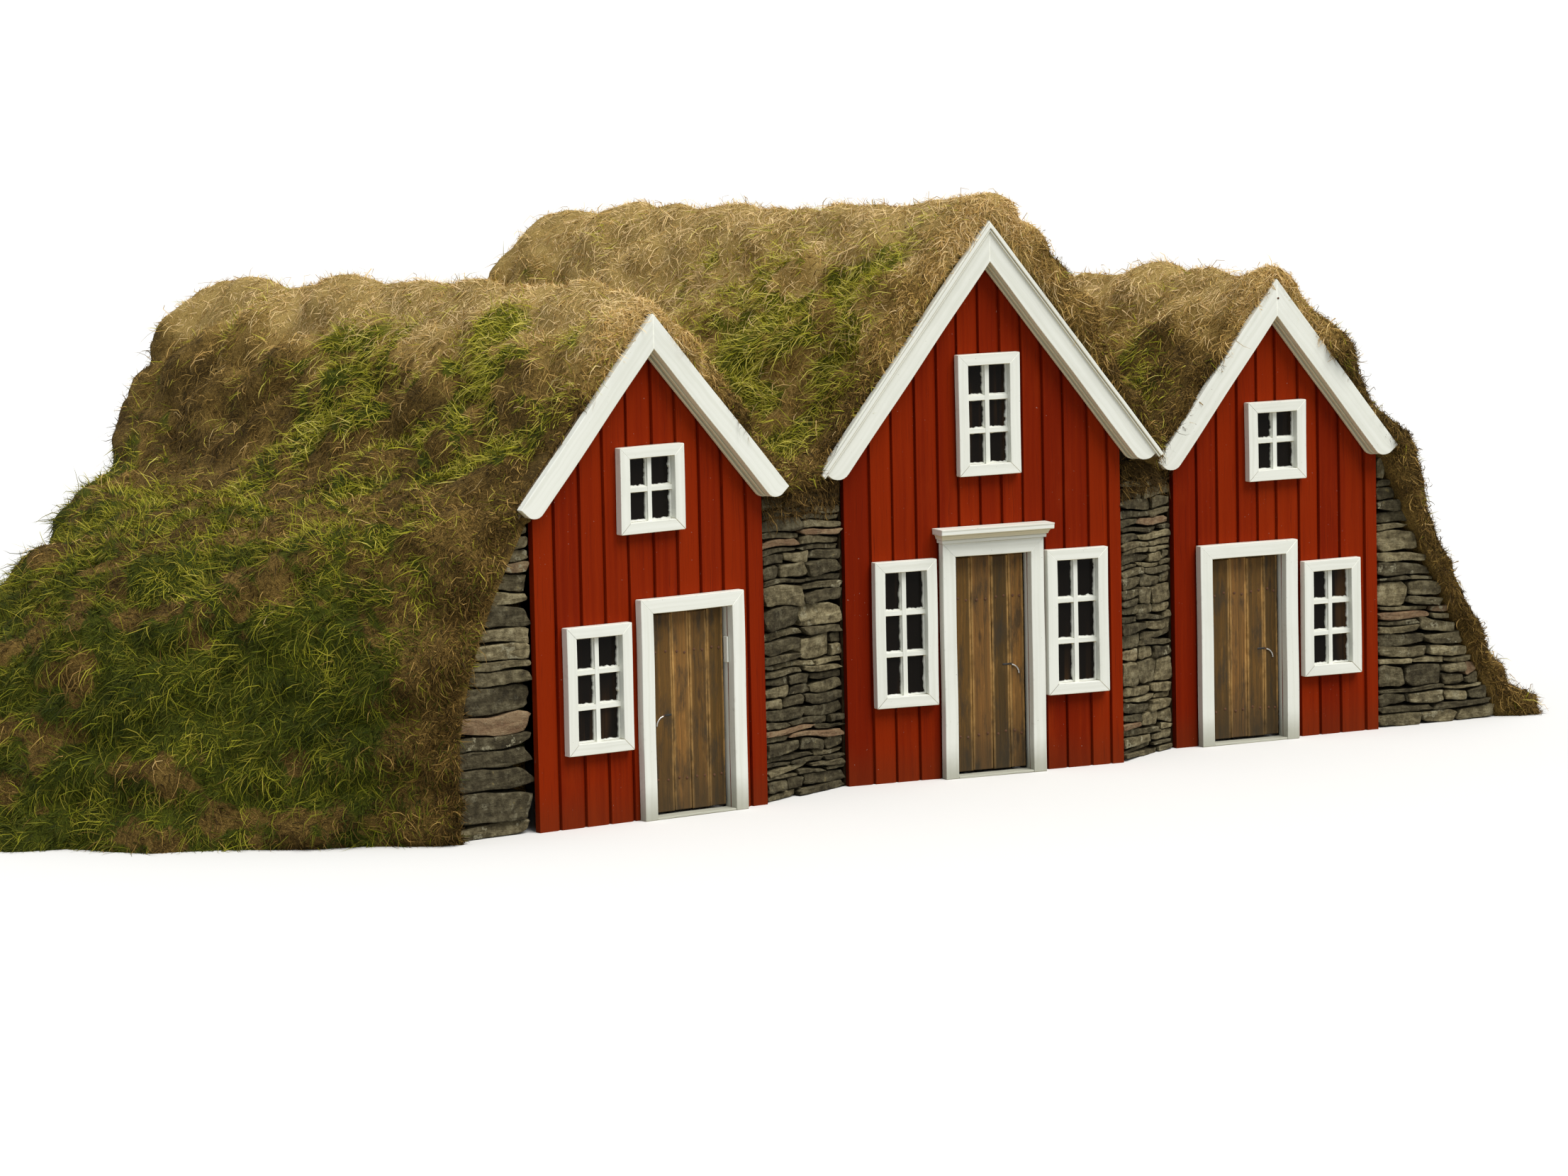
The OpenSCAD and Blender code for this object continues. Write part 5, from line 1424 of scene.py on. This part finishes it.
def stonePiece(name, node, rows, place, seed, shadePower=1.0):
    rng = np.random.default_rng(seed)
    u, d, z = stoneBodies(rows, turf["stoneThick"], rng)
    # courses sag and rise together along the wall
    sag = stones["sag"] * np.sin(u * 11 + seed) + stones["ripple"] * np.sin(u * 37 + z * 9)
    z = z + sag * smoothStep(0.02, 0.12, z)
    count, rings, around = u.shape
    # a shade power over 1 darkens the stones' tones: painted shade
    tone = np.repeat(rng.random(count) ** shadePower, rings * around)
    points = place(u, d, np.maximum(z, 0.0)).reshape(-1, 3)
    newPiece(name, [points, *tubeFaces(rings, around, count)], [wallStone], node,
             values={"tone": tone}, sharp=55)


def endStones(name, node, house, side, slabs, blocks, courses=()):
    start, foot, topU, high = stoneOutline(side)

    def outerAt(z):
        return foot + (topU - foot) * min(1, z / high) - (float(swell(z)) if side < 0 else 0)

    def innerAt(z):
        return start

    def place(u, d, z):
        return onFront(house, u, d + turf["stoneIn"] + turf["stoneThick"] / 2, z)

    sides = (outerAt, innerAt) if side < 0 else (innerAt, outerAt)
    rows = stoneRows(high, *sides, np.random.default_rng(60 + side), slabs, blocks, courses)
    stonePiece(name, node, rows, place, 60 + side)


def middleStones(name, node, first, second, seed, shadePower):
    # on a straight line from one front to the next
    a = onFront(first, frontEdge(first, 1) + turf["stoneGap"], turf["stoneIn"], 0)
    b = onFront(second, frontEdge(second, -1) - turf["stoneGap"], turf["stoneIn"], 0)
    wide = float(np.linalg.norm(b - a))

    def place(u, d, z):
        shape = a + (b - a) / wide * u[..., None]
        shape[..., 1] += d + turf["stoneThick"] / 2
        shape[..., 2] = z
        return shape

    high = min(first["under"], second["under"]) - turf["stoneBelow"]
    rows = stoneRows(high, lambda z: 0.0, lambda z: wide, np.random.default_rng(seed), 0.52, 0.36)
    stonePiece(name, node, rows, place, seed, shadePower)


# making the pieces
for number, (name, house) in enumerate(houses.items()):
    frontBoards(name, house, 100 + number)
    windowPieces(name, house, 110 + 5 * number)
    casingPiece(name, house, 130 + number)
    bargePieces(name, house, 140 + 5 * number)
    doorPieces(name, house, 160 + number)
    paintNode(name + "_roof_boards", roofWood)
cornicePiece(middleHouse)
print("fronts made")
endStones("leftStones", "left_stone_face", leftHouse, -1, 0.15, 0.80, stones["leftCourses"])
endStones("rightStones", "right_stone_face", rightHouse, 1, 0.30, 0.45)
# the left middle face's stones are darkened by a shade power of 2.6: painted shade
middleStones("leftMiddleStones", "left_middle_stone_face", leftHouse, middleHouse, 70, 2.6)
middleStones("rightMiddleStones", "right_middle_stone_face", middleHouse, rightHouse, 71, 1.0)
print("stones made")
ranges = turfPieces()
for name in ("left_dividing_wall", "right_dividing_wall"):
    paintNode(name, rootedEarth)
paintNode("hinge_pins", darkIron)
print("turf made")
rng = np.random.default_rng(7)
shares = {"rightFlank": 0.72, "backWall": 0.56}
outerRows = slice(firstOuter - fringe["rimRows"], lastOuter + 1)
for name, columns in ranges.items():
    growGrass(name + "Grass", outerRows, columns, rng, shares.get(name, 1.0))
growGrass("backWallGrass", slice(lastOuter, None), slice(None), rng, shares["backWall"])
rimStraw()
hangingRoots()
print("grass made")

# floor, light and camera
studio = {"floor": (0.80, 0.80, 0.79), "bounce": (0.36, 0.36, 0.34), "sky": (0.93, 0.96, 1.0),
          "skyStrength": 0.62, "seen": (0.97, 0.97, 0.965), "background": 0.93, "sun": 2.85,
          "sunColour": (1.0, 0.97, 0.92),
          "sunWay": (0.16, -0.52, 0.84), "sunPlace": (3, -4, 5), "softness": 40.0, "extent": 160.0}


def setAxes(item, right, up, back, place):
    columns = np.column_stack([right, up, back, place])
    item.matrix_world = Matrix(np.vstack([columns, [0, 0, 0, 1]]).tolist())


newMaterial("paperFloor", Roughness=0.95, Specular_IOR_Level=0.0)
direct = addNode("LightPath").outputs["Is Camera Ray"]
floorMesh = bpy.data.meshes.new("floor")
extent = studio["extent"]
corners = [(-extent, -extent, 0), (extent, -extent, 0), (extent, extent, 0), (-extent, extent, 0)]
floorMesh.from_pydata(corners, [], [(0, 1, 2, 3)])
floorMesh.materials.append(finishMaterial(mixColours(direct, rgb(studio["bounce"]), rgb(studio["floor"]))))
linked("floor", floorMesh)

world = bpy.data.worlds.new("studioSky")
bpy.context.scene.world = world
world.use_nodes = True
sheet["tree"] = world.node_tree
world.node_tree.nodes.clear()
rays = addNode("LightPath").outputs
seen = calc("MAXIMUM", rays["Is Camera Ray"], rays["Is Transmission Ray"])
light = addNode("Background", Color=rgb(studio["sky"]), Strength=studio["skyStrength"])
plain = addNode("Background", Color=rgb(studio["seen"]), Strength=studio["background"])
mixed = addNode("MixShader", i0=seen, i1=light.outputs[0], i2=plain.outputs[0])
addNode("OutputWorld", i0=mixed.outputs[0])

sunLight = bpy.data.lights.new("keyLight", "SUN")
sunLight.energy, sunLight.color = studio["sun"], studio["sunColour"]
sunLight.angle = math.radians(studio["softness"])
toward = unit(np.array(studio["sunWay"]))
setAxes(linked("keyLight", sunLight), *np.linalg.svd(toward[None])[2][1:], toward, studio["sunPlace"])

# The camera was solved from the fronts in the photograph: right, up and back are rows of a turn
# about Z, then X, then Y
cameraSizes = {"place": (-9.514, -13.418, 2.502), "turn": 33.5, "tip": 6.94, "roll": -1.23, "focal": 9000.0,
               "width": 2212, "sensor": 36.0, "far": 400.0}


def turnAbout(axis, degrees):
    return np.array(Matrix.Rotation(math.radians(degrees), 3, axis))


view = turnAbout("Y", cameraSizes["roll"]) @ turnAbout("X", cameraSizes["tip"])
view = view @ turnAbout("Z", cameraSizes["turn"])
cameraData = bpy.data.cameras.new("photoCamera")
cameraData.sensor_width, cameraData.clip_end = cameraSizes["sensor"], cameraSizes["far"]
cameraData.lens = cameraSizes["focal"] / cameraSizes["width"] * cameraSizes["sensor"]
camera = linked("photoCamera", cameraData)
setAxes(camera, view[0], view[2], -view[1], cameraSizes["place"])
bpy.context.scene.camera = camera
bpy.context.scene.view_settings.view_transform = "Standard"
